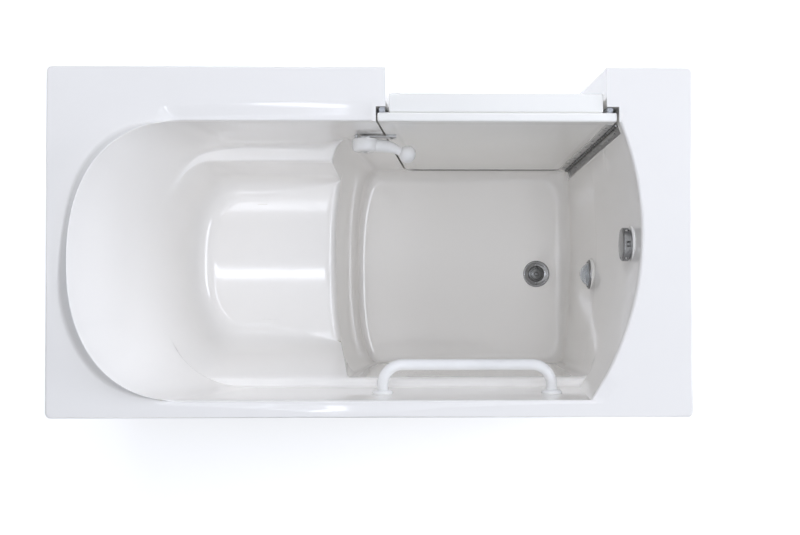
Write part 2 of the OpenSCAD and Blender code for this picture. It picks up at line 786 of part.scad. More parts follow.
module lever_knob() color("whitesmoke") latch_frame() lever_axis() difference() {
  translate([0, 0, lever_l]) sphere(d = knob_d);
  translate([0, 0, arm_end - 10]) cylinder(d = 16, h = 10);
  translate([0, 0, arm_end - over]) cylinder(d = 8 + 2 * fine, h = 13.5);
}

module lever_screw() color("silver") latch_frame() union() {
  translate([0, 0, hub_y + 8]) cylinder(d = 5, h = hub_t - 12);
  translate([0, 0, hub_y + hub_t - 5]) cylinder(d = 14, h = 4);
}

module keeper_stud() color("silver") latch_frame() translate([keeper_r, 0, 0]) union() {
  translate([0, 0, face_y - shell_t - 10]) cylinder(d = 6, h = shell_t + 12);
  translate([0, 0, face_y]) cylinder(d = 7, h = cam_y + cam_t + seat_clear - face_y);
  translate([0, 0, face_y + fine]) cylinder(d = 12, h = 1);
  translate([0, 0, cam_y + cam_t + seat_clear]) cylinder(d = 12, h = keeper_head_t);
}

module keeper_nut() color("silver") latch_frame()
  translate([keeper_r, 0, face_y - shell_t - 5.6]) difference() {
    cylinder(d = 11.5, h = 5, $fn = 6);
    translate([0, 0, -over]) cylinder(d = 6 + 2 * fine, h = 7);
  }

// ---- grab bar --------------------------------------------------------------------------------

module bar_ring() difference() {
  circle(d = bar_d);
  circle(d = bar_d - 4);
}

module grab_bar() color("white") back_frame(-bar_x, bar_z) union() {
  straight = bar_c / 2 - bar_r;
  translate([-straight, -bar_out, 0]) rotate([0, 90, 0]) linear_extrude(2 * straight) bar_ring();
  for (s = [0, 1]) mirror([s, 0, 0]) {
    translate([straight, bar_r - bar_out, 0]) rotate([0, 0, -90])
      rotate_extrude(angle = 90) translate([bar_r, 0]) bar_ring();
    translate([bar_c / 2, bar_r - bar_out, 0]) rotate([-90, 0, 0])
      linear_extrude(bar_out - bar_r) bar_ring();
  }
}

module grab_bar_flanges() color("white") back_frame(-bar_x, bar_z) bar_ends() difference() {
  union() {
    translate([0, 0, -6]) cylinder(d = 46, h = 6);
    translate([0, 0, -10]) cylinder(d1 = 36, d2 = 46, h = 4);
  }
  translate([0, 0, -12]) cylinder(d = bar_d + 2 * fine, h = 14);
}

module grab_bar_plugs() color("silver") back_frame(-bar_x, bar_z) bar_ends() difference() {
  translate([0, 0, -18]) cylinder(d = bar_d - 4 - 2 * fine, h = 18);
  translate([0, 0, -19]) cylinder(d = 8 + 2 * fine, h = 20);
}

module grab_bar_bolts() color("silver") back_frame(-bar_x, bar_z) bar_ends() union() {
  translate([0, 0, -16]) cylinder(d = 8, h = 16 + shell_t + 2);
  translate([0, 0, shell_t + seat_clear]) cylinder(d = 22, h = 1.6);
  translate([0, 0, shell_t + seat_clear + 1.6]) cylinder(d = 14, h = 5, $fn = 6);
}

// ---- waste and overflow ----------------------------------------------------------------------

module at_drain(z) {
  translate([drain_x, drain_y, z]) children();
}

bore_d = 38;
module drain_flange() color("silver") at_drain(floor_z) difference() {
  union() {
    cylinder(d1 = drain_d, d2 = drain_d - 5, h = 2.5);
    translate([0, 0, -shell_t - board_t + 4]) cylinder(d = tail_d, h = shell_t + board_t - 4);
  }
  translate([0, 0, -40]) cylinder(d = bore_d, h = 60);
  translate([0, 0, 0.5]) cylinder(d1 = bore_d, d2 = bore_d + 16, h = 2.1);
}

module drain_gasket() color("dimgray") at_drain(floor_z - shell_t - 3) difference() {
  cylinder(d = 64, h = 3);
  translate([0, 0, -over]) cylinder(d = tail_d + 2 * fine, h = 5);
}

module drain_nut() color("silver") at_drain(floor_z - shell_t - 9) difference() {
  cylinder(d = 62, h = 6);
  translate([0, 0, -over]) cylinder(d = tail_d + 2 * fine, h = 8);
}

shoe_top = floor_z - shell_t - 9;
module drain_shoe() color("white") at_drain(0) difference() {
  union() {
    translate([0, 0, pipe_z - 18]) cylinder(d = 60, h = shoe_top - pipe_z + 18);
    translate([0, 0, pipe_z]) rotate([0, 0, waste_turn]) rotate([0, 90, 0])
      cylinder(d = pipe_d + 8, h = 50);
  }
  translate([0, 0, shoe_top - 12]) cylinder(d = tail_d + 2 * fine, h = 20);
  translate([0, 0, pipe_z - 14]) cylinder(d = bore_d, h = 60);
  translate([0, 0, pipe_z]) rotate([0, 0, waste_turn]) rotate([0, 90, 0]) {
    cylinder(d = pipe_d - 2 * pipe_t, h = 60);
    translate([0, 0, 35]) cylinder(d = pipe_d + 2 * fine, h = 20);
  }
}

// A domed stopper on a stem that a spider in the shoe would guide.
module drain_stopper() color("silver") at_drain(floor_z) union() {
  translate([0, 0, -1.5]) cylinder(d = bore_d - 1, h = 3);
  intersection() {
    translate([0, 0, 1.5]) cylinder(d = bore_d + 6, h = 6);
    translate([0, 0, -52]) sphere(r = 58, $fn = 96);
  }
  translate([0, 0, -20 - stopper_lift]) cylinder(d = 6, h = 20 + stopper_lift);
}

module waste_pipe() color("white") translate([drain_x, drain_y, pipe_z])
  rotate([0, 0, waste_turn]) rotate([0, 90, 0]) translate([0, 0, 35]) difference() {
    cylinder(d = pipe_d, h = waste_run - 35 - socket_z);
    translate([0, 0, -over]) cylinder(d = pipe_d - 2 * pipe_t, h = waste_run);
  }

tee_h = socket_z + 18;
module waste_tee() color("white") translate([tee_x, over_y, pipe_z]) difference() {
  union() {
    translate([0, 0, -28]) cylinder(d = pipe_d + 8, h = tee_h + 28);
    rotate([0, 0, waste_turn + 180]) rotate([0, 90, 0]) cylinder(d = pipe_d + 8, h = tee_h);
    translate([0, 0, 3 - pipe_z]) cylinder(d = pipe_d, h = pipe_z - 28);
  }
  translate([0, 0, -80]) cylinder(d = pipe_d - 2 * pipe_t, h = 200);
  rotate([0, 0, waste_turn + 180]) rotate([0, 90, 0]) {
    cylinder(d = pipe_d - 2 * pipe_t, h = 60);
    translate([0, 0, socket_z]) cylinder(d = pipe_d + 2 * fine, h = 60);
  }
  translate([0, 0, socket_z]) cylinder(d = pipe_d + 2 * fine, h = 30);
}

module overflow_pipe() color("white") translate([tee_x, over_y, pipe_z + socket_z]) difference() {
  cylinder(d = pipe_d, h = over_z - 34 + 16 - pipe_z - socket_z);
  translate([0, 0, -over]) cylinder(d = pipe_d - 2 * pipe_t, h = deck_z);
}

module overflow_body() color("white") translate([tee_x, over_y, over_z]) difference() {
  union() {
    rotate([0, 90, 0]) translate([0, 0, -24]) cylinder(d = 62, h = over_face - tee_x + 24 - pad_t);
    rotate([0, 90, 0]) cylinder(d = 49, h = over_face - tee_x);
    translate([0, 0, -34]) cylinder(d = pipe_d + 8, h = 30);
    translate([0, -cable_side, -34]) cylinder(d = 14, h = 30);
  }
  rotate([0, 90, 0]) translate([0, 0, -20]) cylinder(d = 42, h = 90);
  translate([0, 0, -36]) cylinder(d = pipe_d - 2 * pipe_t, h = 36);
  translate([0, 0, -36]) cylinder(d = pipe_d + 2 * fine, h = 18);
  translate([0, -cable_side, -40]) cylinder(d = cable_d + 2 * fine, h = 20);
}

module overflow_gasket() color("dimgray") wall_x(over_face - pad_t - 2, over_y, over_z) difference() {
  cylinder(d = 74, h = 2);
  translate([0, 0, -over]) cylinder(d = 63, h = 4);
}

plate_h = 4;
module overflow_plate() color("silver") wall_x(over_face, over_y, over_z) difference() {
  union() {
    cylinder(d = over_d - 7, h = plate_h);
    translate([0, 0, -14]) cylinder(d = 16, h = 14);
    for (a = [0:90:270]) rotate([0, 0, a]) translate([7, -2, -6]) cube([13, 4, 6]);
  }
  translate([0, 0, -20]) cylinder(d = 10 + 2 * running, h = 40);
  for (a = [45:90:315]) rotate([0, 0, a]) translate([15, 0, -over]) cylinder(d = 9, h = 8);
}

module overflow_knob() color("silver") wall_x(over_face + plate_h + seat_clear, over_y, over_z)
  difference() {
    union() {
      cylinder(d = over_d, h = 12);
      translate([0, 0, 12]) cylinder(d1 = over_d, d2 = over_d - 8, h = 4);
      translate([0, 0, -plate_h - 18]) cylinder(d = 10, h = plate_h + 18);
    }
    for (a = [0:60:300]) rotate([0, 0, a]) translate([over_d / 2 + 1, 0, -over]) cylinder(d = 10, h = 9);
  }

cable_d = 6;
cable_bend = 40;
cable_side = 36;
module cable_elbow() {
  rotate_extrude(angle = 90) translate([cable_bend, 0]) circle(d = cable_d);
}

// The sheath runs down beside the overflow pipe, turns under the well and ends at the drain shoe.
module stopper_cable() color("black") translate([tee_x, over_y - cable_side, pipe_z + 4]) {
  run_x = drain_x - tee_x - 2 * cable_bend;
  run_y = drain_y - 30 - seat_clear - over_y + cable_side - cable_bend;
  translate([0, 0, cable_bend]) cylinder(d = cable_d, h = over_z - 30 - pipe_z - 4 - cable_bend);
  translate([cable_bend, 0, cable_bend]) rotate([90, 0, 0]) rotate([0, 0, 180]) cable_elbow();
  translate([cable_bend, 0, 0]) rotate([0, 90, 0]) cylinder(d = cable_d, h = run_x);
  translate([cable_bend + run_x, cable_bend, 0]) rotate([0, 0, -90]) cable_elbow();
  translate([2 * cable_bend + run_x, cable_bend, 0]) rotate([-90, 0, 0])
    cylinder(d = cable_d, h = run_y);
}

// ---- light -----------------------------------------------------------------------------------

module light_lens() color("lightcyan", 0.6) wall_x(light_face, light_y, light_z) {
  r = (pow(lens_d / 2, 2) + lens_h * lens_h) / (2 * lens_h);
  intersection() {
    translate([0, 0, lens_h - r]) sphere(r = r, $fn = 96);
    cylinder(d = lens_d + 2, h = lens_h + 2);
  }
}

module light_bezel() color("silver") wall_x(light_face, light_y, light_z) difference() {
  cylinder(d1 = lens_d + 14, d2 = lens_d + 6, h = 5);
  translate([0, 0, -over]) cylinder(d = lens_d + 2 * seat_clear, h = 8);
}

module light_housing() color("dimgray") wall_x(light_face - 46, light_y, light_z) difference() {
  union() {
    cylinder(d = 35, h = 46);
    cylinder(d = 42, h = 14);
  }
  translate([0, 0, 4]) cylinder(d = 29, h = 38);
}

module light_nut() color("dimgray") wall_x(light_face - pad_t - 8, light_y, light_z) difference() {
  cylinder(d = 54, h = 8);
  translate([0, 0, -over]) cylinder(d = 35 + 2 * fine, h = 10);
}

tub_shell();
floor_board();
seat_board();
frame_long_rails();
frame_cross_rails();
frame_posts();
frame_top_rails();
frame_top_cross_rails();
seat_base_rails();
seat_rails();
seat_legs();
levelling_feet();
foot_lock_nuts();
front_panel_head();
front_panel_foot();
threshold_panel();
end_panel_head();
end_panel_foot();
panel_screws();
door_outer_skin();
door_core();
door_inner_panel();
door_seal();
door_hinge_leaf();
jamb_hinge_leaf();
hinge_pin();
door_hinge_screws();
jamb_hinge_screws();
latch_plate();
latch_plate_screws();
lever_spindle();
latch_cam();
latch_lever();
lever_knob();
lever_screw();
keeper_stud();
keeper_nut();
grab_bar();
grab_bar_flanges();
grab_bar_plugs();
grab_bar_bolts();
drain_flange();
drain_gasket();
drain_nut();
drain_shoe();
drain_stopper();
waste_pipe();
waste_tee();
overflow_pipe();
overflow_body();
overflow_gasket();
overflow_plate();
overflow_knob();
stopper_cable();
light_lens();
light_bezel();
light_housing();
light_nut();
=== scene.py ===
"""Walk-in bathtub with a seat, a foot-well and an inward-opening door, dressed for rendering.

Lengths in the classes are in millimetres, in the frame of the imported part: +X towards the head end, +Y
towards the wall, +Z up. Meshes are written in metres.
"""

import json
import logging
import math
from contextlib import contextmanager
from dataclasses import dataclass
from enum import Enum
from typing import Iterator, NamedTuple, Sequence

import bpy
from mathutils import Matrix, Vector

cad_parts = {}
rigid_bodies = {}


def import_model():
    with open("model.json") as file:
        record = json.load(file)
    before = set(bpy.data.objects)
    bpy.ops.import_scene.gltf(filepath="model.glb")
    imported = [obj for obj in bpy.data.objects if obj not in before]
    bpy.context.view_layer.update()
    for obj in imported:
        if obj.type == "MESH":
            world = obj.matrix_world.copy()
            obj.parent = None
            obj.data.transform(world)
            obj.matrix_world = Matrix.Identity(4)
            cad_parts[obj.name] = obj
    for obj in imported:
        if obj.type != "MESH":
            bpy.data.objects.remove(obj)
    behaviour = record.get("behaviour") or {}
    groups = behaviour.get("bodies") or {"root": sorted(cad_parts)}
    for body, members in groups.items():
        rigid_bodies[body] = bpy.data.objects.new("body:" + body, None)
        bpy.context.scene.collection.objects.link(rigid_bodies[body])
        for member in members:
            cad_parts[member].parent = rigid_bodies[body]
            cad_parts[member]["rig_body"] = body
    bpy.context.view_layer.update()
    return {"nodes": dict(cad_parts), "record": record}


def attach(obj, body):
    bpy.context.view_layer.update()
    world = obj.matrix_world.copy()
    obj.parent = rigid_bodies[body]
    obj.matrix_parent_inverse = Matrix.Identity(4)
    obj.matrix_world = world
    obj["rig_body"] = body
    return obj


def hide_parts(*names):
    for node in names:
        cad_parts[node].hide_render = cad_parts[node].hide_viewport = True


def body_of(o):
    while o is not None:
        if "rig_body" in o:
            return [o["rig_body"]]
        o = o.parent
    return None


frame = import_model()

MM = 0.001
PHOTO_W = 800
SLOT_OF = {row["node"]: row["material_slot"] for row in frame["record"]["subparts"]}
log = logging.getLogger("walk_in_tub")

Point = tuple[float, float, float]
Flat = tuple[float, float]


# ---- colours and node materials ---------------------------------------------------------------


def linear(colour: str) -> tuple[float, float, float, float]:
    """Turns an sRGB hex colour to linear.

    Args:
        colour: Six hex digits, such as "E8EAEE".

    Returns:
        The colour as linear red, green, blue and an alpha of 1.
    """
    parts = [int(colour[i : i + 2], 16) / 255 for i in (0, 2, 4)]
    return (*[c / 12.92 if c <= 0.04045 else ((c + 0.055) / 1.055) ** 2.4 for c in parts], 1.0)


def blank_tree(owner: bpy.types.ID) -> bpy.types.NodeTree:
    """Returns the emptied node tree of a material or a world.

    Args:
        owner: The material or the world.

    Returns:
        Its node tree, without nodes.
    """
    owner.use_nodes = True
    owner.node_tree.nodes.clear()
    return owner.node_tree


def add(tree: bpy.types.NodeTree, kind: str, *first: object, **inputs: object) -> bpy.types.Node:
    """Adds a node and sets or links its inputs.

    Args:
        tree: The node tree.
        kind: Type name of the node.
        *first: Values or sockets for its first inputs, in order.
        **inputs: An input's name with its value, or with the socket to link to it.

    Returns:
        The new node.
    """
    node = tree.nodes.new(kind)
    for key, value in [*enumerate(first), *inputs.items()]:
        if isinstance(value, bpy.types.NodeSocket):
            tree.links.new(value, node.inputs[key])
        else:
            node.inputs[key].default_value = value
    return node


class Grain(Enum):
    """How a surface was made, which decides the pattern of its bump."""

    MOULDED = "moulded"
    BRUSHED = "brushed"
    SPRAYED = "sprayed"
    ROUGH = "rough"
    WOOD = "wood"


# Scale of the pattern along each axis, where its grain runs one way.
STRETCH: dict[Grain, Point] = {Grain.BRUSHED: (0.04, 1.0, 1.0), Grain.WOOD: (0.06, 1.0, 2.0)}
# How much broader the slow wander of colour and gloss is than the fine pattern.
BROADER = 24
# The noise's values run mostly between these two.
NOISE_LOW, NOISE_HIGH = 0.3, 0.7
COAT_ROUGHNESS = 0.03


@dataclass(frozen=True)
class Finish:
    """One surface: its colours, gloss and the bump that its making leaves.

    Attributes:
        name: Name of the Blender material.
        colour: Main colour, as sRGB hex.
        second: Colour of the pattern's other end, as sRGB hex.
        roughness: Typical roughness, and how far it wanders.
        metallic: 1 for bare metal.
        ior: Index of refraction of the surface, or None for a metal's default.
        coat: Weight of a clear glossy coat.
        grain: How the surface was made.
        grain_mm: Real size of the pattern in millimetres.
        bump_mm: Height of the bump in millimetres.
        glass: Weight of transmission.
    """

    name: str
    colour: str
    second: str
    roughness: Flat
    metallic: float = 0.0
    ior: float | None = 1.5
    coat: float = 0.0
    grain: Grain = Grain.MOULDED
    grain_mm: float = 2.0
    bump_mm: float = 0.02
    glass: float = 0.0

    def material(self) -> bpy.types.Material:
        """Returns the finish's Blender material, made once."""
        return bpy.data.materials.get(self.name) or self._build()

    def _build(self) -> bpy.types.Material:
        """Builds the node tree.

        Returns:
            The new material.
        """
        mat = bpy.data.materials.new(self.name)
        tree = blank_tree(mat)
        place = add(tree, "ShaderNodeTexCoord").outputs["Object"]
        if self.grain in STRETCH:
            place = add(tree, "ShaderNodeMapping", Vector=place, Scale=STRETCH[self.grain]).outputs[0]
        per_m = 1000.0 / self.grain_mm
        fine = add(tree, "ShaderNodeTexNoise", Vector=place, Scale=per_m, Detail=4.0, Roughness=0.6)
        broad = add(tree, "ShaderNodeTexNoise", Vector=place, Scale=per_m / BROADER, Detail=3.0)
        blend = fine if self.grain in (Grain.BRUSHED, Grain.WOOD, Grain.ROUGH) else broad
        ramp = add(tree, "ShaderNodeValToRGB", Fac=blend.outputs["Fac"])
        ends = ((NOISE_LOW, self.second), (NOISE_HIGH, self.colour))
        for element, (position, colour) in zip(ramp.color_ramp.elements, ends):
            element.position, element.color = position, linear(colour)
        base, spread = self.roughness
        span = {"From Min": NOISE_LOW, "From Max": NOISE_HIGH}
        span |= {"To Min": max(base - spread, 0.0), "To Max": base + spread}
        gloss = add(tree, "ShaderNodeMapRange", Value=broad.outputs["Fac"], **span)
        relief = broad if self.grain is Grain.MOULDED else fine
        depth = self.bump_mm * MM
        bump = add(tree, "ShaderNodeBump", Height=relief.outputs["Fac"], Strength=1.0, Distance=depth)
        values = {
            "Base Color": ramp.outputs[0],
            "Metallic": self.metallic,
            "Roughness": gloss.outputs[0],
            "Normal": bump.outputs[0],
            "Coat Weight": self.coat,
            "Coat Roughness": COAT_ROUGHNESS,
            "Transmission Weight": self.glass,
        }
        if self.ior is not None:
            values["IOR"] = self.ior
        shader = add(tree, "ShaderNodeBsdfPrincipled", **values)
        add(tree, "ShaderNodeOutputMaterial", shader.outputs[0])
        return mat


def metal(name: str, colour: str, second: str, roughness: Flat, **more: object) -> Finish:
    """Returns the finish of a bare metal, its attributes given as a Finish's are."""
    return Finish(name, colour, second, roughness, metallic=1.0, ior=None, **more)


# ---- finishes -----------------------------------------------------------------------------------

SLOT_FINISH: dict[str, Finish] = {
    # Vacuum-formed acrylic sheet: mirror-smooth gloss over a body colour, with a very shallow orange peel.
    "acrylic_white": Finish(
        "vacuum_formed_acrylic", "FAF7F2", "F8F5F0", (0.06, 0.02),
        ior=1.49, coat=0.25, grain_mm=14, bump_mm=0.01,
    ),
    # The door is cast in the same acrylic, its colour set a little lighter than the shell's as painted light
    # for its inner face, which gets less light.
    "door_white": Finish(
        "door_acrylic_painted_lighter", "FBF9F3", "F9F7F1", (0.1, 0.03), ior=1.49, coat=0.2, grain_mm=14, bump_mm=0.01
    ),
    # Acrylic-faced sheet with a satin pebble from its rollers.
    "panel_white": Finish(
        "satin_acrylic_sheet", "F1F0ED", "EFEEEB", (0.3, 0.02),
        ior=1.49, grain=Grain.SPRAYED, grain_mm=1.6, bump_mm=0.008,
    ),
    # Closed-cell polyurethane foam with its open cut cells.
    "foam_core": Finish(
        "cut_polyurethane_foam", "D8C58C", "BFA968", (0.8, 0.08), grain=Grain.ROUGH, grain_mm=1.5, bump_mm=0.4
    ),
    # Sanded birch plywood with a thin sealer.
    "plywood": Finish(
        "sealed_birch_plywood", "C9A87C", "A9824F", (0.5, 0.1), grain=Grain.WOOD, grain_mm=6, bump_mm=0.12
    ),
    # Zinc-rich paint sprayed on square steel tube: a fine dry pebble.
    "frame_steel": Finish(
        "zinc_rich_paint", "757B80", "666B70", (0.48, 0.08), grain=Grain.SPRAYED, grain_mm=1.2, bump_mm=0.04
    ),
    # Stainless steel with a directional brushed finish.
    "steel_bright": metal(
        "brushed_stainless_steel", "B9BABC", "A3A5A8", (0.3, 0.08),
        grain=Grain.BRUSHED, grain_mm=0.8, bump_mm=0.01,
    ),
    # The hinge's leaves and knuckles are rolled from mill-finish stainless strip, painted much darker than the
    # screws as the shade of the gap that the knuckles sit in.
    "hinge_steel": metal(
        "stainless_strip_with_painted_gap_shade", "5E5F60", "4A4B4D", (0.38, 0.1),
        grain=Grain.BRUSHED, grain_mm=1.0, bump_mm=0.01,
    ),
    # EPDM rubber, moulded dull.
    "rubber_black": Finish(
        "moulded_epdm_rubber", "161617", "202022", (0.65, 0.08),
        ior=1.52, grain=Grain.SPRAYED, grain_mm=0.9, bump_mm=0.03,
    ),
    # Extruded silicone: soft grey with a faint sheen.
    "seal_grey": Finish(
        "extruded_silicone_seal", "C6C8CB", "B4B6BA", (0.42, 0.06), ior=1.41, grain_mm=6, bump_mm=0.02
    ),
    # Injection-moulded ABS with a polished tool: clean white gloss.
    "lever_white": Finish(
        "injection_moulded_abs", "F2F1EE", "EEEDEA", (0.12, 0.03),
        ior=1.53, coat=0.1, grain_mm=10, bump_mm=0.01,
    ),
    # Polyester powder coat, which leaves a soft orange peel.
    "bar_white": Finish(
        "white_powder_coat", "F5F4F1", "F0EFEC", (0.16, 0.04),
        coat=0.2, grain=Grain.SPRAYED, grain_mm=2.4, bump_mm=0.012,
    ),
    # Polished chrome plate: near-mirror with faint wandering of the polish.
    "chrome": metal("polished_chrome_plate", "97989A", "8A8B8E", (0.08, 0.03), grain_mm=8, bump_mm=0.004),
    # Extruded and moulded polypropylene waste pipe: waxy and slightly grey.
    "pipe_white": Finish(
        "polypropylene_waste_pipe", "DDDDD8", "CFCFC9", (0.4, 0.08), ior=1.49, grain_mm=12, bump_mm=0.03
    ),
    # Nylon cable sheath, extruded black.
    "cable_black": Finish("extruded_nylon_sheath", "121214", "1C1C1F", (0.4, 0.06), ior=1.53, grain_mm=4),
    # Clear polycarbonate dome, polished.
    "lens_clear": Finish(
        "clear_polycarbonate", "F4F7FA", "EEF2F6", (0.03, 0.01),
        ior=1.58, glass=0.85, grain_mm=10, bump_mm=0.002,
    ),
    # Glass-filled nylon, dark and matte, with a spark-eroded texture.
    "housing_grey": Finish(
        "glass_filled_nylon", "4A4C50", "3E4044", (0.55, 0.08),
        ior=1.53, grain=Grain.SPRAYED, grain_mm=0.9, bump_mm=0.05,
    ),
}

# Chopped glass mat in resin, rolled onto the back of the shell: mottled, yellowish and rough.
GLASS_FIBRE = Finish(
    "rolled_glass_fibre", "CFC7A8", "A89E7C", (0.55, 0.12),
    ior=1.55, grain=Grain.ROUGH, grain_mm=9, bump_mm=0.5,
)
# White enamel on the door's leaf of the hinge, and satin stainless on the jamb's.
LEAF_WHITE = Finish(
    "enamelled_hinge_leaf", "DCDAD6", "D4D2CE", (0.3, 0.05), grain=Grain.SPRAYED, grain_mm=1.4, bump_mm=0.01
)
LEAF_SATIN = metal(
    "satin_hinge_leaf", "8F8F8E", "7C7C7B", (0.36, 0.06), grain=Grain.BRUSHED, grain_mm=0.8, bump_mm=0.01
)
# Chrome on the stopper's cap, its colour darkened as a painted dim reflection for its flat top, and the softer
# satin of the overflow's cup.
DIMMED_REFLECTION_CHROME = metal("chrome_with_painted_dim_reflection", "747576", "66676A", (0.14, 0.05), grain_mm=7, bump_mm=0.006)
SATIN_CHROME = metal("satin_chrome_plate", "8F9092", "828386", (0.2, 0.05), grain_mm=6, bump_mm=0.004)
# White reflector behind the light's dome.
REFLECTOR = Finish("light_reflector_white", "D4D6D8", "C6C8CA", (0.3, 0.05), coat=0.2, grain_mm=6, bump_mm=0.01)


# ---- mesh helpers -------------------------------------------------------------------------------


def deselect() -> None:
    """Leaves edit mode and selects nothing."""
    if bpy.context.object and bpy.context.object.mode != "OBJECT":
        bpy.ops.object.mode_set(mode="OBJECT")
    bpy.ops.object.select_all(action="DESELECT")


def make_active(obj: bpy.types.Object) -> None:
    """Selects one object alone and makes it active.

    Args:
        obj: The object.
    """
    deselect()
    obj.select_set(True)
    bpy.context.view_layer.objects.active = obj


@contextmanager
def editing(obj: bpy.types.Object) -> Iterator[None]:
    """Opens an object in edit mode with all of it selected, and closes it afterwards.

    Args:
        obj: A mesh object.

    Yields:
        Nothing, while the object is open.
    """
    make_active(obj)
    bpy.ops.object.mode_set(mode="EDIT")
    bpy.ops.mesh.select_all(action="SELECT")
    yield
    bpy.ops.object.mode_set(mode="OBJECT")


def modify(obj: bpy.types.Object, kind: str, **settings: object) -> None:
    """Adds a modifier to an object and applies it.

    Args:
        obj: The object.
        kind: The modifier's type, such as "BEVEL".
        **settings: The modifier's settings.
    """
    make_active(obj)
    modifier = obj.modifiers.new(kind.lower(), kind)
    for name, value in settings.items():
        setattr(modifier, name, value)
    bpy.ops.object.modifier_apply(modifier=modifier.name)


def settle(obj: bpy.types.Object, matrix: Matrix | None = None) -> None:
    """Puts an object's place into its mesh, so that the object sits at the origin.

    Args:
        obj: The object.
        matrix: A place to give it first, in metres.
    """
    bpy.context.view_layer.update()
    obj.data.transform((matrix or Matrix.Identity(4)) @ obj.matrix_world)
    obj.matrix_world = Matrix.Identity(4)


def at(x: float, y: float, z: float) -> Matrix:
    """Returns a move to a point given in millimetres."""
    return Matrix.Translation(Vector((x, y, z)) * MM)


def turn_about(axis: str, degrees: float) -> Matrix:
    """Returns a turn about one axis."""
    return Matrix.Rotation(math.radians(degrees), 4, axis)


def smooth(obj: bpy.types.Object, degrees: float) -> None:
    """Shades an object smooth up to an angle."""
    make_active(obj)
    bpy.ops.object.shade_smooth_by_angle(angle=math.radians(degrees))


def joined(objs: Sequence[bpy.types.Object], name: str) -> bpy.types.Object:
    """Joins objects into the first one.

    Args:
        objs: The objects.
        name: Name of the result.

    Returns:
        The joined object.
    """
    make_active(objs[0])
    for obj in objs[1:]:
        obj.select_set(True)
    if len(objs) > 1:
        bpy.ops.object.join()
    objs[0].name = name
    return objs[0]


def boolean(obj: bpy.types.Object, operation: str, tools: Sequence[bpy.types.Object]) -> None:
    """Joins closed tools to an object or cuts them away one after another, and deletes them.

    Args:
        obj: The object that changes.
        operation: "UNION", "DIFFERENCE" or "INTERSECT".
        tools: The tools.
    """
    for tool in tools:
        modify(obj, "BOOLEAN", object=tool, operation=operation, solver="MANIFOLD")
        bpy.data.objects.remove(tool)


def circle_of(name: str, count: int, fill: str = "NOTHING") -> bpy.types.Object:
    """Adds a circle, whose points are moved afterwards.

    Args:
        name: Name of the object.
        count: Number of points.
        fill: How it is filled.

    Returns:
        The circle.
    """
    deselect()
    bpy.ops.mesh.primitive_circle_add(vertices=count, radius=1, fill_type=fill)
    obj = bpy.context.object
    obj.name = name
    return obj


def slab(name: str, outline: Sequence[Flat], low: float, high: float) -> bpy.types.Object:
    """Extrudes an outline from one height to another.

    Args:
        name: Name of the object.
        outline: Points in millimetres, in order.
        low: Height of the bottom.
        high: Height of the top.

    Returns:
        A closed solid, its faces outwards.
    """
    obj = circle_of(name, len(outline), "NGON")
    for vertex, (x, y) in zip(obj.data.vertices, outline):
        vertex.co = (x * MM, y * MM, low * MM)
    with editing(obj):
        bpy.ops.mesh.extrude_region_move(TRANSFORM_OT_translate={"value": (0, 0, (high - low) * MM)})
        bpy.ops.mesh.select_all(action="SELECT")
        bpy.ops.mesh.normals_make_consistent(inside=False)
    return obj


def turned(name: str, profile: Sequence[Flat], steps: int = 64) -> bpy.types.Object:
    """Spins a profile round the Z axis.

    Args:
        name: Name of the object.
        profile: Radius and height in millimetres, from the bottom of the inside round to its start.
        steps: Steps in a full turn.

    Returns:
        The turned solid; a profile that starts and ends on the axis gives closed poles.
    """
    obj = circle_of(name, len(profile))
    for vertex, (r, z) in zip(obj.data.vertices, profile):
        vertex.co = (r * MM, 0, z * MM)
    with editing(obj):
        bpy.ops.mesh.spin(steps=steps, angle=math.tau, center=(0, 0, 0), axis=(0, 0, 1))
    with editing(obj):
        bpy.ops.mesh.remove_doubles(threshold=0.02 * MM)
        bpy.ops.mesh.dissolve_degenerate(threshold=0.01 * MM)
        bpy.ops.mesh.normals_make_consistent(inside=False)
    return obj


def lathe_x(name: str, profile: Sequence[Flat], place: Point, steps: int = 64) -> bpy.types.Object:
    """Turns a profile and points its axis along +X.

    Args:
        name: Name of the piece.
        profile: Radius and distance along the axis, in millimetres.
        place: Where the axis starts, in millimetres.
        steps: Steps in a full turn.

    Returns:
        The turned solid, in place.
    """
    piece = turned(name, profile, steps)
    settle(piece, at(*place) @ turn_about("Y", 90))
    return piece


def lofted(name: str, rings: Sequence[Sequence[Vector]]) -> bpy.types.Object:
    """Extrudes a circle ring by ring and moves its points.

    Args:
        name: Name of the object.
        rings: Each ring's points in millimetres, the same number in all.

    Returns:
        The surface, open at its first and last ring.
    """
    obj = circle_of(name, len(rings[0]))
    with editing(obj):
        for _ in rings[1:]:
            bpy.ops.mesh.extrude_region_move()
    for vertex, point in zip(obj.data.vertices, (point for ring in rings for point in ring)):
        vertex.co = point * MM
    return obj


def swept(name: str, path: Sequence[Vector], radii: Sequence[float], sides: int) -> bpy.types.Object:
    """Sweeps a round section along a path and closes its ends.

    Args:
        name: Name of the object.
        path: Middles of the rings, in millimetres.
        radii: Their radii.
        sides: Sides of the section.

    Returns:
        The closed solid.
    """
    side = Vector((0, 0, 1))
    rings = []
    for j, (point, radius) in enumerate(zip(path, radii)):
        tangent = (path[min(j + 1, len(path) - 1)] - path[max(j - 1, 0)]).normalized()
        side = (side - tangent * side.dot(tangent)).normalized()
        other = tangent.cross(side)
        rings.append([point + (side * x + other * y) * radius for x, y in circle(1.0, sides)])
    obj = lofted(name, rings)
    with editing(obj):
        bpy.ops.mesh.fill_holes(sides=0)
        bpy.ops.mesh.select_all(action="SELECT")
        bpy.ops.mesh.normals_make_consistent(inside=False)
    return obj


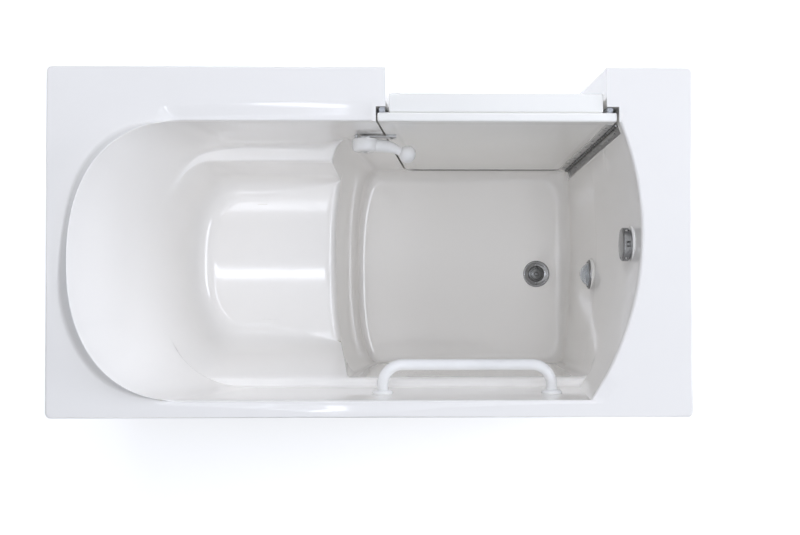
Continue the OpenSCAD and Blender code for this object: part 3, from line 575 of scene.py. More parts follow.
def copy_of(node: str, name: str) -> bpy.types.Object:
    """Copies a CAD node's mesh into a new merged object.

    Args:
        node: The CAD node.
        name: Name of the copy.

    Returns:
        The copy, with flat faces dissolved to single polygons.
    """
    obj = bpy.data.objects.new(name, frame["nodes"][node].data.copy())
    bpy.context.scene.collection.objects.link(obj)
    obj.data.materials.clear()
    make_active(obj)
    bpy.ops.mesh.customdata_custom_splitnormals_clear()
    with editing(obj):
        bpy.ops.mesh.remove_doubles(threshold=0.005 * MM)
        bpy.ops.mesh.dissolve_limited(angle_limit=math.radians(0.5))
    return obj


def bevelled(obj: bpy.types.Object, width: float, segments: int, degrees: float = 40.0) -> bpy.types.Object:
    """Rounds an object's edges that turn by more than an angle.

    Args:
        obj: The object.
        width: Width of the rounding in millimetres.
        segments: Its segments.
        degrees: Smallest angle that is rounded.

    Returns:
        The same object, shaded smooth.
    """
    chosen = {"limit_method": "ANGLE", "angle_limit": math.radians(degrees), "miter_outer": "MITER_ARC"}
    modify(obj, "BEVEL", width=width * MM, segments=segments, **chosen)
    smooth(obj, degrees)
    return obj


def softened(node: str, width: float, segments: int = 2) -> None:
    """Stands a copy with rounded edges in for a CAD node, the rounding's width in millimetres."""
    dress(bevelled(copy_of(node, f"{node}_finished"), width, segments), node)


def soften_all(**widths: float) -> None:
    """Stands softened copies in for CAD nodes, each with its own width of rounding in millimetres."""
    for node, width in widths.items():
        softened(node, width)


def raise_field(obj: bpy.types.Object, normal: Vector, border: float, slope: float, rise: float) -> None:
    """Raises a field on an object's largest face that looks one way.

    Args:
        obj: The object.
        normal: The way that the face looks.
        border: Width of the plain border, in millimetres.
        slope: Width of the sloped edge.
        rise: Height of the field.
    """
    faces = [f for f in obj.data.polygons if f.normal.dot(normal) > 0.99]
    chosen = max(faces, key=lambda f: f.area).index
    make_active(obj)
    for part in (obj.data.polygons, obj.data.edges, obj.data.vertices):
        part.foreach_set("select", [False] * len(part))
    obj.data.polygons[chosen].select = True
    bpy.ops.object.mode_set(mode="EDIT")
    bpy.ops.mesh.select_mode(type="FACE")
    bpy.ops.mesh.inset(thickness=border * MM, depth=0)
    bpy.ops.mesh.inset(thickness=slope * MM, depth=rise * MM)
    bpy.ops.mesh.select_mode(type="VERT")
    bpy.ops.object.mode_set(mode="OBJECT")


def islands(obj: bpy.types.Object) -> list[list[Vector]]:
    """Returns the points of each loose part of an object, in metres.

    Args:
        obj: A mesh object.

    Returns:
        A list of points for each loose part.
    """
    parent = list(range(len(obj.data.vertices)))

    def root(i: int) -> int:
        """Returns the first point of a point's part.

        Args:
            i: A vertex index.

        Returns:
            The vertex index that stands for its part.
        """
        while parent[i] != i:
            parent[i] = parent[parent[i]]
            i = parent[i]
        return i

    for edge in obj.data.edges:
        parent[root(edge.vertices[0])] = root(edge.vertices[1])
    groups: dict[int, list[Vector]] = {}
    for vertex in obj.data.vertices:
        groups.setdefault(root(vertex.index), []).append(vertex.co.copy())
    return list(groups.values())


def block(name: str, low: Point, high: Point, place: Matrix | None = None) -> bpy.types.Object:
    """Makes a rectangular solid between two corners, for cutting and joining.

    Args:
        name: Name of the block.
        low: Its lowest corner in millimetres.
        high: Its highest corner in millimetres.
        place: Where its frame stands, in metres.

    Returns:
        The block.
    """
    (x0, y0, z0), (x1, y1, z1) = low, high
    solid = slab(name, [(x0, y0), (x1, y0), (x1, y1), (x0, y1)], z0, z1)
    settle(solid, place)
    return solid


def cross_recess(reach: float, low: float, high: float, half: float = 0.45) -> list[bpy.types.Object]:
    """Returns the two arms that cut a cross recess: half their length, bottom, top and half their width."""
    return [block("arm", (-x, -y, low), (x, y, high)) for x, y in ((reach, half), (half, reach))]


def fasteners(
    node: str, shaft: float, head: Sequence[Flat], cross: float, axis: Vector | None = None
) -> None:
    """Stands modelled screws in for a CAD node's plain ones, each where the CAD has it.

    Args:
        node: The node.
        shaft: Radius of the shaft in millimetres.
        head: The head's profile from its underside to the axis, heights measured from its top.
        cross: Half-length of the head's cross recess.
        axis: The way that the heads look, None where each faces out of the tub.
    """
    source = copy_of(node, "source")
    groups = islands(source)
    bpy.data.objects.remove(source)
    pieces = []
    for points in groups:
        middle = sum(points, Vector()) / len(points)
        on_end = abs(middle.x) > (HALF_L - 10) * MM
        outward = Vector((math.copysign(1, middle.x), 0, 0)) if on_end else Vector((0, -1, 0))
        way = axis or outward
        heights = [p.dot(way) for p in points]
        top, length = max(heights), (max(heights) - min(heights)) / MM
        screw = turned("screw", [(0, -length), (shaft, -length), (shaft, head[0][1]), *head], 24)
        boolean(screw, "DIFFERENCE", cross_recess(cross, -1.0, 1.0))
        on_axis = Matrix.Translation(middle + way * (top - middle.dot(way)))
        settle(screw, on_axis @ way.to_track_quat("Z", "Y").to_matrix().to_4x4())
        pieces.append(screw)
    dress(joined(pieces, f"{node}_finished"), node, 40)


def dress(
    obj: bpy.types.Object,
    node: str,
    degrees: float | None = None,
    place: Matrix | None = None,
    finish: Finish | None = None,
) -> None:
    """Gives a piece its place and shading, and the body of its CAD node and the material of that node's slot.

    Args:
        obj: The piece.
        node: The CAD node.
        degrees: Angle up to which it is shaded smooth, None where it is shaded already.
        place: Where it goes, in metres, None where it is in place.
        finish: A finish other than the slot's own.
    """
    if place:
        settle(obj, place)
    if degrees:
        smooth(obj, degrees)
    slot_name = SLOT_OF[node]
    own = (finish or SLOT_FINISH[slot_name]).material()
    if finish or not any(obj.data.materials):
        obj.data.materials.clear()
        obj.data.polygons.foreach_set("material_index", [0] * len(obj.data.polygons))
        obj.data.materials.append(own)
    # A boolean can leave an empty slot for the faces that it cut.
    for index, held in enumerate(obj.data.materials):
        if held is None:
            obj.data.materials[index] = own
    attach(obj, body_of(frame["nodes"][node])[0])
    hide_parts(node)
    log.info("%s stands for %s", obj.name, node)


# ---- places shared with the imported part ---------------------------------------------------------

HALF_L, HALF_W = 700.0, 380.0
# Heights of the headrest's crest, the deck, the armrests, the seat, the foot-well's cove and its floor.
CREST_Z, DECK_Z, REST_Z, SEAT_Z, COVE_Z, FLOOR_Z = 1000.0, 960.0, 710.0, 530.0, 134.0, 100.0
LEAN_DEG = 2.2
LEAN = math.radians(LEAN_DEG)
# Y of the door-side wall at the deck, and the other walls at the crest, with how far each draws in below it.
FRONT_Y = -261.5
BACK_Y, BACK_IN = 345.0, 16.0
FOOT_X, FOOT_IN = -590.0, 13.0
HEAD_X, HEAD_IN = 647.0, 237.0

DOOR_PLACE = at(-538.0, -258.0, DECK_Z) @ turn_about("X", LEAN_DEG)
# Along the door's thickness: the panel's face, the panel's back, the seal's back, the jamb and the skin.
FACE_Y, PANEL_Y, SEAL_Y, STEP_Y, SKIN_Y = -3.5, -23.5, -35.5, -35.8, -59.5
# The doorway's hinge side, its width at the deck, its height and how much it narrows down each millimetre.
NOTCH_X, NOTCH_W, NOTCH_H = 25.0, 482.0, 806.0
TAPER = 84 / NOTCH_H
HINGE_TOP, HINGE_LEN = -34.0, 762.0
LAND_PLACE = DOOR_PLACE @ turn_about("Z", -68)
LAND_LOW, LAND_HIGH = HINGE_TOP - HINGE_LEN - 6, HINGE_TOP + 6
LATCH_Z, LATCH_OUT = -200.0, 65.0
LATCH_X = NOTCH_X + NOTCH_W + LATCH_Z * TAPER + LATCH_OUT
LATCH_PLACE = DOOR_PLACE @ at(LATCH_X, 0, LATCH_Z) @ turn_about("X", -90)
# How full the D-shaped ends are; 1 is an ellipse, and less is fuller.
FULLNESS = 2 / 2.3
DRAIN: Point = (-463.0, 54.0, FLOOR_Z)
OVERFLOW: Point = (-580.0, 2.0, DECK_Z - 100)
LIGHT: Point = (-553.0, 62.0, 460.0)


def front_at(z: float) -> float:
    """Returns the door-side wall's Y at a height."""
    return FRONT_Y + (DECK_Z - z) * math.tan(LEAN)


def back_at(z: float) -> float:
    """Returns the wall-side wall's Y at a height."""
    return BACK_Y - (CREST_Z - z) * BACK_IN / (CREST_Z - REST_Z)


def foot_at(z: float) -> float:
    """Returns the foot-end wall's X at a height."""
    return FOOT_X + (CREST_Z - z) * FOOT_IN / (CREST_Z - REST_Z)


def head_at(z: float) -> float:
    """Returns the backrest's X at a height."""
    return HEAD_X - (CREST_Z - z) * HEAD_IN / (CREST_Z - SEAT_Z)


# ---- points and curves --------------------------------------------------------------------------


def mix(a: float, b: float, share: float) -> float:
    """Returns a value between two, at a share of the way."""
    return a + (b - a) * share


def clamp(value: float) -> float:
    """Returns a value kept between 0 and 1."""
    return min(max(value, 0.0), 1.0)


def smoothstep(value: float) -> float:
    """Eases a value between 0 and 1."""
    value = clamp(value)
    return value * value * (3 - 2 * value)


def line(a: Flat, b: Flat, count: int) -> list[Flat]:
    """Returns count points from a towards b, without b."""
    return [(mix(a[0], b[0], k / count), mix(a[1], b[1], k / count)) for k in range(count)]


def circle(radius: float, steps: int = 32) -> list[Flat]:
    """Returns the points of a circle round the origin."""
    turns = [math.tau * k / steps for k in range(steps)]
    return [(radius * math.cos(turn), radius * math.sin(turn)) for turn in turns]


def quarter(steps: int) -> list[Flat]:
    """Returns the cosines and sines of a quarter turn's steps."""
    turns = [math.radians(90 * k / steps) for k in range(steps + 1)]
    return [(math.cos(turn), math.sin(turn)) for turn in turns]


def toward(a: Vector, b: Vector, reach: float) -> Vector:
    """Returns the point at a distance from a on the way to b."""
    return a + (b - a).normalized() * reach if reach > 1e-6 else a.copy()


def bezier(a: Vector, b: Vector, c: Vector, share: float) -> Vector:
    """Returns a point of the quadratic curve from a to c with its control at b."""
    return a.lerp(b, share).lerp(b.lerp(c, share), share)


def bulge(cx: float, cy: float, deep: float, half: float, turn: float) -> Flat:
    """Returns a point of a D-shaped end: turn is 90 degrees at its wall side and -90 at its door side."""
    c, s = math.cos(math.radians(turn)), math.sin(math.radians(turn))
    return cx + deep * max(c, 0) ** FULLNESS, cy + half * math.copysign(abs(s) ** FULLNESS, s)


def evenly(path: Sequence[Flat], count: int) -> list[Flat]:
    """Resamples a path.

    Args:
        path: Its points.
        count: Number of equal steps.

    Returns:
        count + 1 points, evenly spaced along the path.
    """
    lengths = [0.0]
    for a, b in zip(path, path[1:]):
        lengths.append(lengths[-1] + math.dist(a, b))
    out, k = [], 0
    for i in range(count + 1):
        target = lengths[-1] * i / count
        while k < len(path) - 2 and lengths[k + 1] < target:
            k += 1
        span = lengths[k + 1] - lengths[k]
        share = clamp((target - lengths[k]) / span) if span else 0
        out.append((mix(path[k][0], path[k + 1][0], share), mix(path[k][1], path[k + 1][1], share)))
    return out


def rounded(points: Sequence[Flat], radii: Sequence[float], steps: int = 10) -> list[Flat]:
    """Rounds each corner of a polygon to its own radius.

    Args:
        points: The corners, in order.
        radii: One radius for each corner, 0 for a sharp one.
        steps: Steps of each arc.

    Returns:
        The rounded outline.
    """
    out: list[Flat] = []
    count = len(points)
    for i, radius in enumerate(radii):
        p, a, b = (Vector(points[j % count]) for j in (i, i + count - 1, i + 1))
        if not radius:
            out.append(tuple(p))
            continue
        u, v = (a - p).normalized(), (b - p).normalized()
        half = u.angle(v) / 2
        centre = p + (u + v).normalized() * radius / math.sin(half)
        start, end = p + u * radius / math.tan(half) - centre, p + v * radius / math.tan(half) - centre
        first = math.atan2(start.y, start.x)
        turn = (math.atan2(end.y, end.x) - first + math.pi) % math.tau - math.pi
        turns = [first + turn * k / steps for k in range(steps + 1)]
        out += [(centre.x + radius * math.cos(a), centre.y + radius * math.sin(a)) for a in turns]
    return out


def doorway(hinge_g: float, latch_g: float, low_g: float, top: float, radius: float) -> list[Flat]:
    """Gives the doorway's outline in the door's plane, grown by its own amount on each side.

    Args:
        hinge_g: Growth on the hinge side.
        latch_g: Growth on the latch side.
        low_g: Growth at the sill.
        top: Height of the top, from the deck.
        radius: Radius of the two sill corners.

    Returns:
        The outline as points of X and Z.
    """
    x0, x1, z0 = NOTCH_X - hinge_g, NOTCH_X + NOTCH_W + latch_g, -NOTCH_H - low_g
    corners = [(x0, top), (x0, z0), (x1 + z0 * TAPER, z0), (x1 + top * TAPER, top)]
    return rounded(corners, [0, radius, radius, 0])


def door_prism(name: str, outline: Sequence[Flat], low_y: float, high_y: float) -> bpy.types.Object:
    """Makes a plate parallel to the door.

    Args:
        name: Name of the plate.
        outline: Points of X and Z in the door's plane.
        low_y: Outer face.
        high_y: Inner face.

    Returns:
        The plate, in place.
    """
    plate = slab(name, outline, -high_y, -low_y)
    settle(plate, DOOR_PLACE @ turn_about("X", 90))
    return plate


# ---- the moulded shell --------------------------------------------------------------------------


class Level(Enum):
    """A contour of the basin: the wide upper walls, seat and well together, the well alone or its floor."""

    UPPER = "upper"
    SEAT = "seat"
    WELL = "well"
    FLOOR = "floor"


class Contour(NamedTuple):
    """Where a contour of the basin runs.

    Attributes:
        tip_x: X of the head end's middle.
        foot_x: X of the foot end's middle.
        front_y: Y of the door side.
        back_y: Y of the wall side.
        deep: Depth of the D-shaped head end.
        back_r: Radius of the foot end's wall-side corner.
        front_r: Radius of its door-side corner, 0 where the arc meets the hinge corner.
    """

    tip_x: float
    foot_x: float
    front_y: float
    back_y: float
    deep: float
    back_r: float
    front_r: float = 0.0


class Key(NamedTuple):
    """A corner of a column, with its fillet's reach towards the corner before it and the one after."""

    point: Vector
    before: float
    after: float


class DeckSide(NamedTuple):
    """How the deck runs into the rim along one side.

    Attributes:
        land: Distance from the rim at which the deck starts to fall.
        near: Distance from the rim at which it has fallen.
        drop: How far it falls.
        out: Reach of the rim's fillet over the deck.
        down: Reach of the rim's fillet down the wall.
    """

    land: float
    near: float
    drop: float
    out: float
    down: float


DOOR_SIDE, WALL_SIDE = DeckSide(44, 12, 3.9, 5, 11), DeckSide(29, 10, 1.9, 5, 11)
END_SIDE = DeckSide(40, 14, 0, 12, 10)

# A column's corners from the deck's outer edge to the drain, each with the steps of its fillet and the steps
# of the straight run that follows it.
STEPS = {
    "edge_foot": (0, 1),
    "edge": (4, 4),
    "shoulder": (3, 2),
    "fall": (6, 4),
    "crest": (10, 7),
    "wall": (7, 2),
    "ledge": (7, 4),
    "seat": (12, 2),
    "sole": (1, 7),
    "riser": (7, 7),
    "cove": (5, 2),
    "floor": (5, 9),
    "drain_slope": (1, 1),
    "drain_rim": (1, 1),
    "drain_wall": (0, 0),
}
# Greatest share of the run before and after a corner that its fillet may take.
FILLET_SHARES = {"seat": (0.7, 0.85), "sole": (0.1, 0.46)}
PLAIN_SHARES = (0.46, 0.46)
# Long runs get a point close to each end, so that the flat between two fillets shades flat.
SUPPORT, LONG_RUN = 0.03, 3


def by_door(p: Vector) -> bool:
    """Tells whether a point of the rim is on the door side."""
    return p.y < -200 and p.x > -530


def by_wall(p: Vector) -> bool:
    """Tells whether a point of the rim is on the wall side."""
    return p.y > 280 and p.x > -500


@dataclass
class TubShell:
    """The acrylic shell, lofted in columns from the deck's edge over the rim and down to the drain.

    Attributes:
        wall: Thickness of the shell.
        lip_h: Height of the headrest's crest over the deck.
        lip_start: X at which the headrest starts to rise.
        mouth_x: X where the upper walls' straight foot part ends.
        corner_x: X where the foot end's arc meets the hinge corner.
        arc_y: Y of the deepest point of the foot end's arc.
        riser_x: X of the riser's middle, at the armrests and at the cove, as in the next three.
        well_foot_x: X of the well's foot end.
        well_back_y: Y of the well's wall side.
        well_corner_r: Radius of the well's wall-side corner.
        seat_front_in: How far the seat is in from the door-side wall, at the armrests and at the seat.
        seat_back_in: How far the seat is in from the other wall, at the armrests and at the seat.
        seat_end_x: X of the seat's back, at the armrests and at the seat.
        seat_deep: Depth of the seat's D-shaped back.
        seat_cove: Reach of the cove round the seat.
        steps_front: Columns along each straight side of the foot part, as the next four.
        steps_foot: Columns round the foot end.
        steps_end: Columns from the mouth to the shoulder.
        steps_side: Columns along each side of the seat.
        steps_head: Columns round the head end.
    """

    wall: float = 6.0
    lip_h: float = 40.0
    lip_start: float = 430.0
    mouth_x: float = 51.0
    corner_x: float = -541.0
    arc_y: float = -20.0
    riser_x: Flat = (110.9, 37.0)
    well_foot_x: Flat = (foot_at(REST_Z) + 12, -551.0)
    well_back_y: Flat = (307.0, 301.0)
    well_corner_r: Flat = (82.0, 50.0)
    seat_front_in: Flat = (54.0, 82.0)
    seat_back_in: Flat = (22.0, 96.0)
    seat_end_x: Flat = (head_at(REST_Z) - 12, 425.0)
    seat_deep: float = 120.0
    seat_cove: float = 62.0
    steps_front: int = 30
    steps_foot: int = 44
    steps_end: int = 8
    steps_side: int = 16
    steps_head: int = 56

    @property
    def head_first(self) -> int:
        """Number of the first column of the head end."""
        return 2 * self.steps_front + self.steps_foot + self.steps_end + self.steps_side

    def on_seat(self, i: int) -> bool:
        """Tells whether a column runs over the seat."""
        return self.head_first - self.steps_side <= i < self.head_first + self.steps_head + self.steps_side

    def contour(self, level: Level, z: float) -> Contour:
        """Returns where a contour runs at a height.

        Args:
            level: The contour's shape.
            z: Its height.

        Returns:
            Its four sides and its corners.
        """
        if level is Level.UPPER:
            return Contour(head_at(z), foot_at(z), front_at(z), back_at(z), deep=225.0, back_r=90.0)
        if level is Level.FLOOR:
            return Contour(30.0, -528.0, front_at(FLOOR_Z) + 20, 300.0, deep=58.0, back_r=58.0, front_r=58.0)
        t = (REST_Z - z) / (REST_Z - COVE_Z)
        foot_x, back_y = mix(*self.well_foot_x, t), mix(*self.well_back_y, t)
        tip_x, back_r = mix(*self.riser_x, t), mix(*self.well_corner_r, t)
        return Contour(tip_x, foot_x, front_at(z), back_y, deep=60.0, back_r=back_r)

    def foot_end(self, at_z: Contour) -> list[Flat]:
        """Gives the foot end of a contour, from the door side to the wall side.

        Args:
            at_z: The contour.

        Returns:
            steps_foot + 1 points, evenly spaced.
        """
        fx, y0, y1, back_r, front_r = at_z.foot_x, at_z.front_y, at_z.back_y, at_z.back_r, at_z.front_r
        sag, rise = self.corner_x - fx, self.arc_y - y0
        radius = (rise * rise + sag * sag) / (2 * sag) if sag > 3 else 0

        def arc_x(y: float) -> float:
            """Returns the foot end's X at a Y."""
            return fx + radius - math.sqrt(max(radius * radius - (y - self.arc_y) ** 2, 0)) if radius else fx

        path = [(arc_x(y0), y0)]
        if front_r:
            path = [(fx + front_r - front_r * s, y0 + front_r - front_r * c) for c, s in quarter(12)]
        low, high = y0 + front_r, y1 - back_r
        path += [(arc_x(y), y) for y in (low + (high - low) * k / 40 for k in range(1, 40))]
        for c, s in quarter(24):
            y = high + back_r * s
            path.append((max(arc_x(y), fx + back_r - back_r * c), y))
        return evenly(path, self.steps_foot)

    def loop(self, level: Level, z: float) -> list[Flat]:
        """Gives one closed contour of the basin, with a point for every column of the shell.

        Args:
            level: Which contour.
            z: Its height.

        Returns:
            The contour, clockwise from the door side of the mouth.
        """
        at_z = self.contour(level, z)
        y0, y1, deep = at_z.front_y, at_z.back_y, at_z.deep
        deep_x = at_z.tip_x - deep
        px = self.mouth_x if level is Level.UPPER else deep_x
        cy, half = (y0 + y1) / 2, (y1 - y0) / 2
        n_end, n_side, n_head = self.steps_end, self.steps_side, self.steps_head
        half_turn = [90 - 180 * k / n_head for k in range(n_head)]

        def on_end(turn: float) -> Flat:
            """Returns a point of the contour's head end."""
            return bulge(deep_x, cy, deep, half, turn)

        def turn_at(y: float) -> float:
            """Returns the turn at which the head end reaches a Y."""
            turn = math.degrees(math.asin(min(abs((y - cy) / half), 1) ** (1 / FULLNESS)))
            return turn if y > cy else -turn

        foot = self.foot_end(at_z)
        points = line((px, y0), foot[0], self.steps_front) + foot[:-1]
        points += line(foot[-1], (px, y1), self.steps_front)
        if level is Level.UPPER:
            shoulder = px + 40
            points += line((px, y1), (shoulder, y1), n_end) + line((shoulder, y1), (deep_x, y1), n_side)
            points += [on_end(turn) for turn in half_turn]
            points += line((deep_x, y0), (shoulder, y0), n_side)
            return points + line((shoulder, y0), (px, y0), n_end)
        t = clamp((REST_Z - z) / (REST_Z - SEAT_Z))
        s0, s1 = front_at(REST_Z) + mix(*self.seat_front_in, t), back_at(REST_Z) - mix(*self.seat_back_in, t)
        back_turn, front_turn = min(turn_at(s1), 88), max(turn_at(s0), -88)
        points += [on_end(mix(90, back_turn, k / n_end)) for k in range(n_end)]
        if level is Level.SEAT:
            seat_x = mix(*self.seat_end_x, t) - self.seat_deep
            seat_y, seat_half = (s0 + s1) / 2, (s1 - s0) / 2
            points += line(on_end(back_turn), (seat_x, s1), n_side)
            points += [bulge(seat_x, seat_y, self.seat_deep, seat_half, turn) for turn in half_turn]
            points += line((seat_x, s0), on_end(front_turn), n_side)
        else:
            y_a, y_b = on_end(back_turn)[1], on_end(front_turn)[1]
            side = (self.seat_cove + 4) / (s1 - s0)
            shares = [side * k / n_side for k in range(n_side)]
            shares += [mix(side, 1 - side, k / n_head) for k in range(n_head)]
            shares += [1 - side + side * k / n_side for k in range(n_side)]
            points += [on_end(turn_at(mix(y_a, y_b, share))) for share in shares]
        return points + [on_end(mix(front_turn, -90, k / n_end)) for k in range(n_end)]

    def outer(self, rim: Sequence[Flat], radius: float = 12.0, half_steps: int = 2) -> list[Flat]:
        """Gives the deck's outer edge, with a point for every column.

        Args:
            rim: The basin's contour at the deck.
            radius: Radius of the rectangle's corners.
            half_steps: Columns on each side of a corner that go round it.

        Returns:
            The rectangle's points.
        """
        count = len(rim)
        corners = [
            (self.steps_front, (-HALF_L, -HALF_W)),
            (self.steps_front + self.steps_foot - 8, (-HALF_L, HALF_W)),
            (self.head_first + 12, (HALF_L, HALF_W)),
            (self.head_first + self.steps_head - 12, (HALF_L, -HALF_W)),
        ]
        points: list[Flat] = [(0.0, 0.0)] * count
        for (i, a), (j, b) in zip(corners, corners[1:] + corners[:1]):
            j = j if j > i else j + count
            axis = 1 if a[0] == b[0] else 0
            start, end = rim[i % count][axis], rim[j % count][axis]
            for k in range(i, j):
                share = (rim[k % count][axis] - start) / (end - start)
                points[k % count] = (mix(a[0], b[0], share), mix(a[1], b[1], share))
        for i, (x, y) in corners:
            sx, sy = math.copysign(1, x), math.copysign(1, y)
            for k, (c, s) in enumerate(quarter(2 * half_steps), -half_steps):
                u, v = (c, s) if sx != sy else (s, c)
                points[(i + k) % count] = (x - sx * radius * (1 - u), y - sy * radius * (1 - v))
        return points

    def deck_keys(self, at_deck: Flat, at_crest: Flat, outside: Flat) -> list[Key]:
        """Gives a column's corners from the deck's outer edge to the rim.

        Args:
            at_deck: The basin's contour at the deck's height.
            at_crest: The basin's contour at the crest's height.
            outside: The deck's outer edge.

        Returns:
            The corners edge_foot to crest.
        """
        rise = clamp((at_deck[0] - self.lip_start) / (HEAD_X - 20 - self.lip_start))
        rise = clamp((mix(at_deck[0], at_crest[0], rise) - self.lip_start) / (HEAD_X - self.lip_start))
        height = self.lip_h * rise
        x, y = (mix(low, high, rise) for low, high in zip(at_deck, at_crest))
        crest = Vector((x, y, DECK_Z + height))
        edge = Vector((*outside, DECK_Z))
        away = Vector((edge.x - crest.x, edge.y - crest.y, 0))
        reach = away.length
        away.normalize()
        lifted = smoothstep(height / 3)
        side = DOOR_SIDE if by_door(crest) else WALL_SIDE if by_wall(crest) else END_SIDE
        shoulder = crest + away * min(mix(side.land, 26 * rise + 14, lifted), reach * 0.85)
        fall = crest + away * min(mix(side.near, 26 * rise + 1.5, lifted), reach * 0.8)
        crest.z -= side.drop * (1 - lifted)
        shoulder.z, fall.z = DECK_Z, DECK_Z - side.drop * (1 - lifted)
        return [
            Key(edge - Vector((0, 0, 40)), 0, 0),
            Key(edge, 5, 5),
            Key(shoulder, 2, 2),
            Key(fall, mix(2, 13, lifted), mix(2, 9, lifted)),
            Key(crest, mix(side.out, 4, lifted), mix(side.down, 5, lifted)),
        ]

    def sole(self, seat: Vector, front: Vector, mouth: float) -> Vector:
        """Gives the point where a column's cove ends on the seat.

        Args:
            seat: The corner of the seat and its side wall.
            front: The column's point on the riser.
            mouth: X where the seat's sides start.

        Returns:
            A point up to 60 mm in from the corner, less beside the riser.
        """
        middle = Vector((min(seat.x, 300.0), 22.0, SEAT_Z))
        reach = min(60.0, 0.29 * max(seat.x - mouth, 0.0), 0.8 * (middle - seat).length)
        return seat + (middle - seat).normalized() * reach if reach > 1 else seat.lerp(front, 0.02)

    def basin_keys(self, i: int, crest: Vector, wall: Vector, ledge: Vector, seat: Vector) -> list[Key]:
        """Gives a column's corners from the upper wall to the seat.

        Args:
            i: Number of the column.
            crest: Its point on the rim.
            wall: Its point where the upper wall ends.
            ledge: Its point on the armrest's inner edge.
            seat: Its point at the foot of the seat's wall, or at the top of the riser.

        Returns:
            The corners wall, ledge and seat.
        """
        # The door-side wall swells out a little over the armrest.
        full = smoothstep((wall.x - 60) / 60) * smoothstep((430 - wall.x) / 120) if by_door(crest) else 0.0
        wall.y += 17 * full
        # Round the head end and the foot end the wall runs straight down, and the ledge melts into it.
        turn = abs(90 - 180 * (i - self.head_first) / self.steps_head)
        from_end = min(i - self.steps_front, self.steps_front + self.steps_foot - i)
        melt = max(smoothstep((58 - turn) / 30), smoothstep((from_end - 1) / 6))
        if melt:
            slope = (crest - seat).normalized()
            for z, target in ((REST_Z + 12, wall), (REST_Z - 20, ledge)):
                on_line = seat + slope * ((z - seat.z) / slope.z)
                target.x, target.y, target.z = (mix(p, q, melt) for p, q in zip(target, on_line))
        cove = self.seat_cove if self.on_seat(i) else 8
        return [
            Key(wall, mix(mix(12, 30, full), 40, melt), mix(mix(9, 16, full), 14, melt)),
            Key(ledge, mix(mix(12, 9, full), 14, melt), mix(16, 40, melt)),
            Key(seat, cove, cove),
        ]

    def columns(self) -> list[list[Key]]:
        """Gives each column's corners.

        Returns:
            One list for each column, its corners in the order of STEPS.
        """
        at_deck, at_crest = self.loop(Level.UPPER, DECK_Z), self.loop(Level.UPPER, DECK_Z + self.lip_h)
        outside = self.outer(at_deck)
        ledge_out, ledge_in = self.loop(Level.UPPER, REST_Z), self.loop(Level.SEAT, REST_Z)
        seat_in, riser = self.loop(Level.SEAT, SEAT_Z), self.loop(Level.WELL, SEAT_Z)
        cove, floor = self.loop(Level.WELL, COVE_Z), self.loop(Level.FLOOR, FLOOR_Z)
        mouth = ledge_in[self.head_first - self.steps_side][0]
        drain = Vector(DRAIN)
        out = []
        for i in range(len(at_deck)):
            deck = self.deck_keys(at_deck[i], at_crest[i], outside[i])
            front = Vector((*riser[i], SEAT_Z))
            seat = Vector((*seat_in[i], SEAT_Z)) if self.on_seat(i) else front
            wall, ledge = Vector((*ledge_out[i], REST_Z)), Vector((*ledge_in[i], REST_Z))
            sole = self.sole(seat, front, mouth) if self.on_seat(i) else seat
            foot = Vector((*floor[i], FLOOR_Z))
            spoke = (foot - drain).normalized()
            out.append(
                [
                    *deck,
                    *self.basin_keys(i, deck[-1].point, wall, ledge, seat),
                    Key(sole, 1, 1),
                    Key(front, 20, 22),
                    Key(Vector((*cove[i], COVE_Z)), 26, 18),
                    Key(foot, 18, 30),
                    Key(drain + spoke * 42, 4, 4),
                    Key(drain + spoke * 23.5, 1, 1),
                    Key(drain + spoke * 23.5 - Vector((0, 0, 2)), 0, 0),
                ]
            )
        return out

    def filleted(self, keys: Sequence[Key]) -> list[Vector]:
        """Rounds a column's corners.

        Args:
            keys: The corners, in the order of STEPS.

        Returns:
            The column's points, the same number for every column.
        """
        ends = []
        for k, (name, (point, before, after)) in enumerate(zip(STEPS, keys)):
            last, following = keys[max(k - 1, 0)].point, keys[min(k + 1, len(keys) - 1)].point
            most_before, most_after = FILLET_SHARES.get(name, PLAIN_SHARES)
            before = min(before, most_before * (point - last).length)
            after = min(after, most_after * (point - following).length)
            ends.append((toward(point, last, before), toward(point, following, after)))
        points: list[Vector] = []
        for k, (bends, spans) in enumerate(STEPS.values()):
            start, end = ends[k]
            corner, turns = keys[k].point, [j / bends for j in range(bends + 1)] if bends else []
            points += [bezier(start, corner, end, turn) for turn in turns] or [corner]
            shares = [j / spans for j in range(1, spans)]
            if spans > LONG_RUN:
                shares[0], shares[-1] = SUPPORT, 1 - SUPPORT
            points += [end.lerp(ends[k + 1][0], share) for share in shares]
        return points

    def share_of_wall(self, p: Vector) -> float:
        """Gives the wall's share of its full thickness, small where tight roundings leave no room behind.

        Args:
            p: A point of the surface.

        Returns:
            The share, from 0 to 1.
        """
        if p.z > DECK_Z + 0.5:
            return mix(0.5, 0.12, smoothstep((p.z - DECK_Z) / 6))
        by_rim = p.z > DECK_Z - 14 and head_at(DECK_Z) - 420 < p.x < head_at(DECK_Z) + 34
        if by_rim and front_at(DECK_Z) - 34 < p.y < HALF_W - 6:
            return 0.3
        near_ledge = REST_Z - 50 < p.z < REST_Z + 40
        near_seat = SEAT_Z - 60 < p.z < REST_Z and p.x > 60
        return 0.25 if near_ledge or near_seat else 1.0

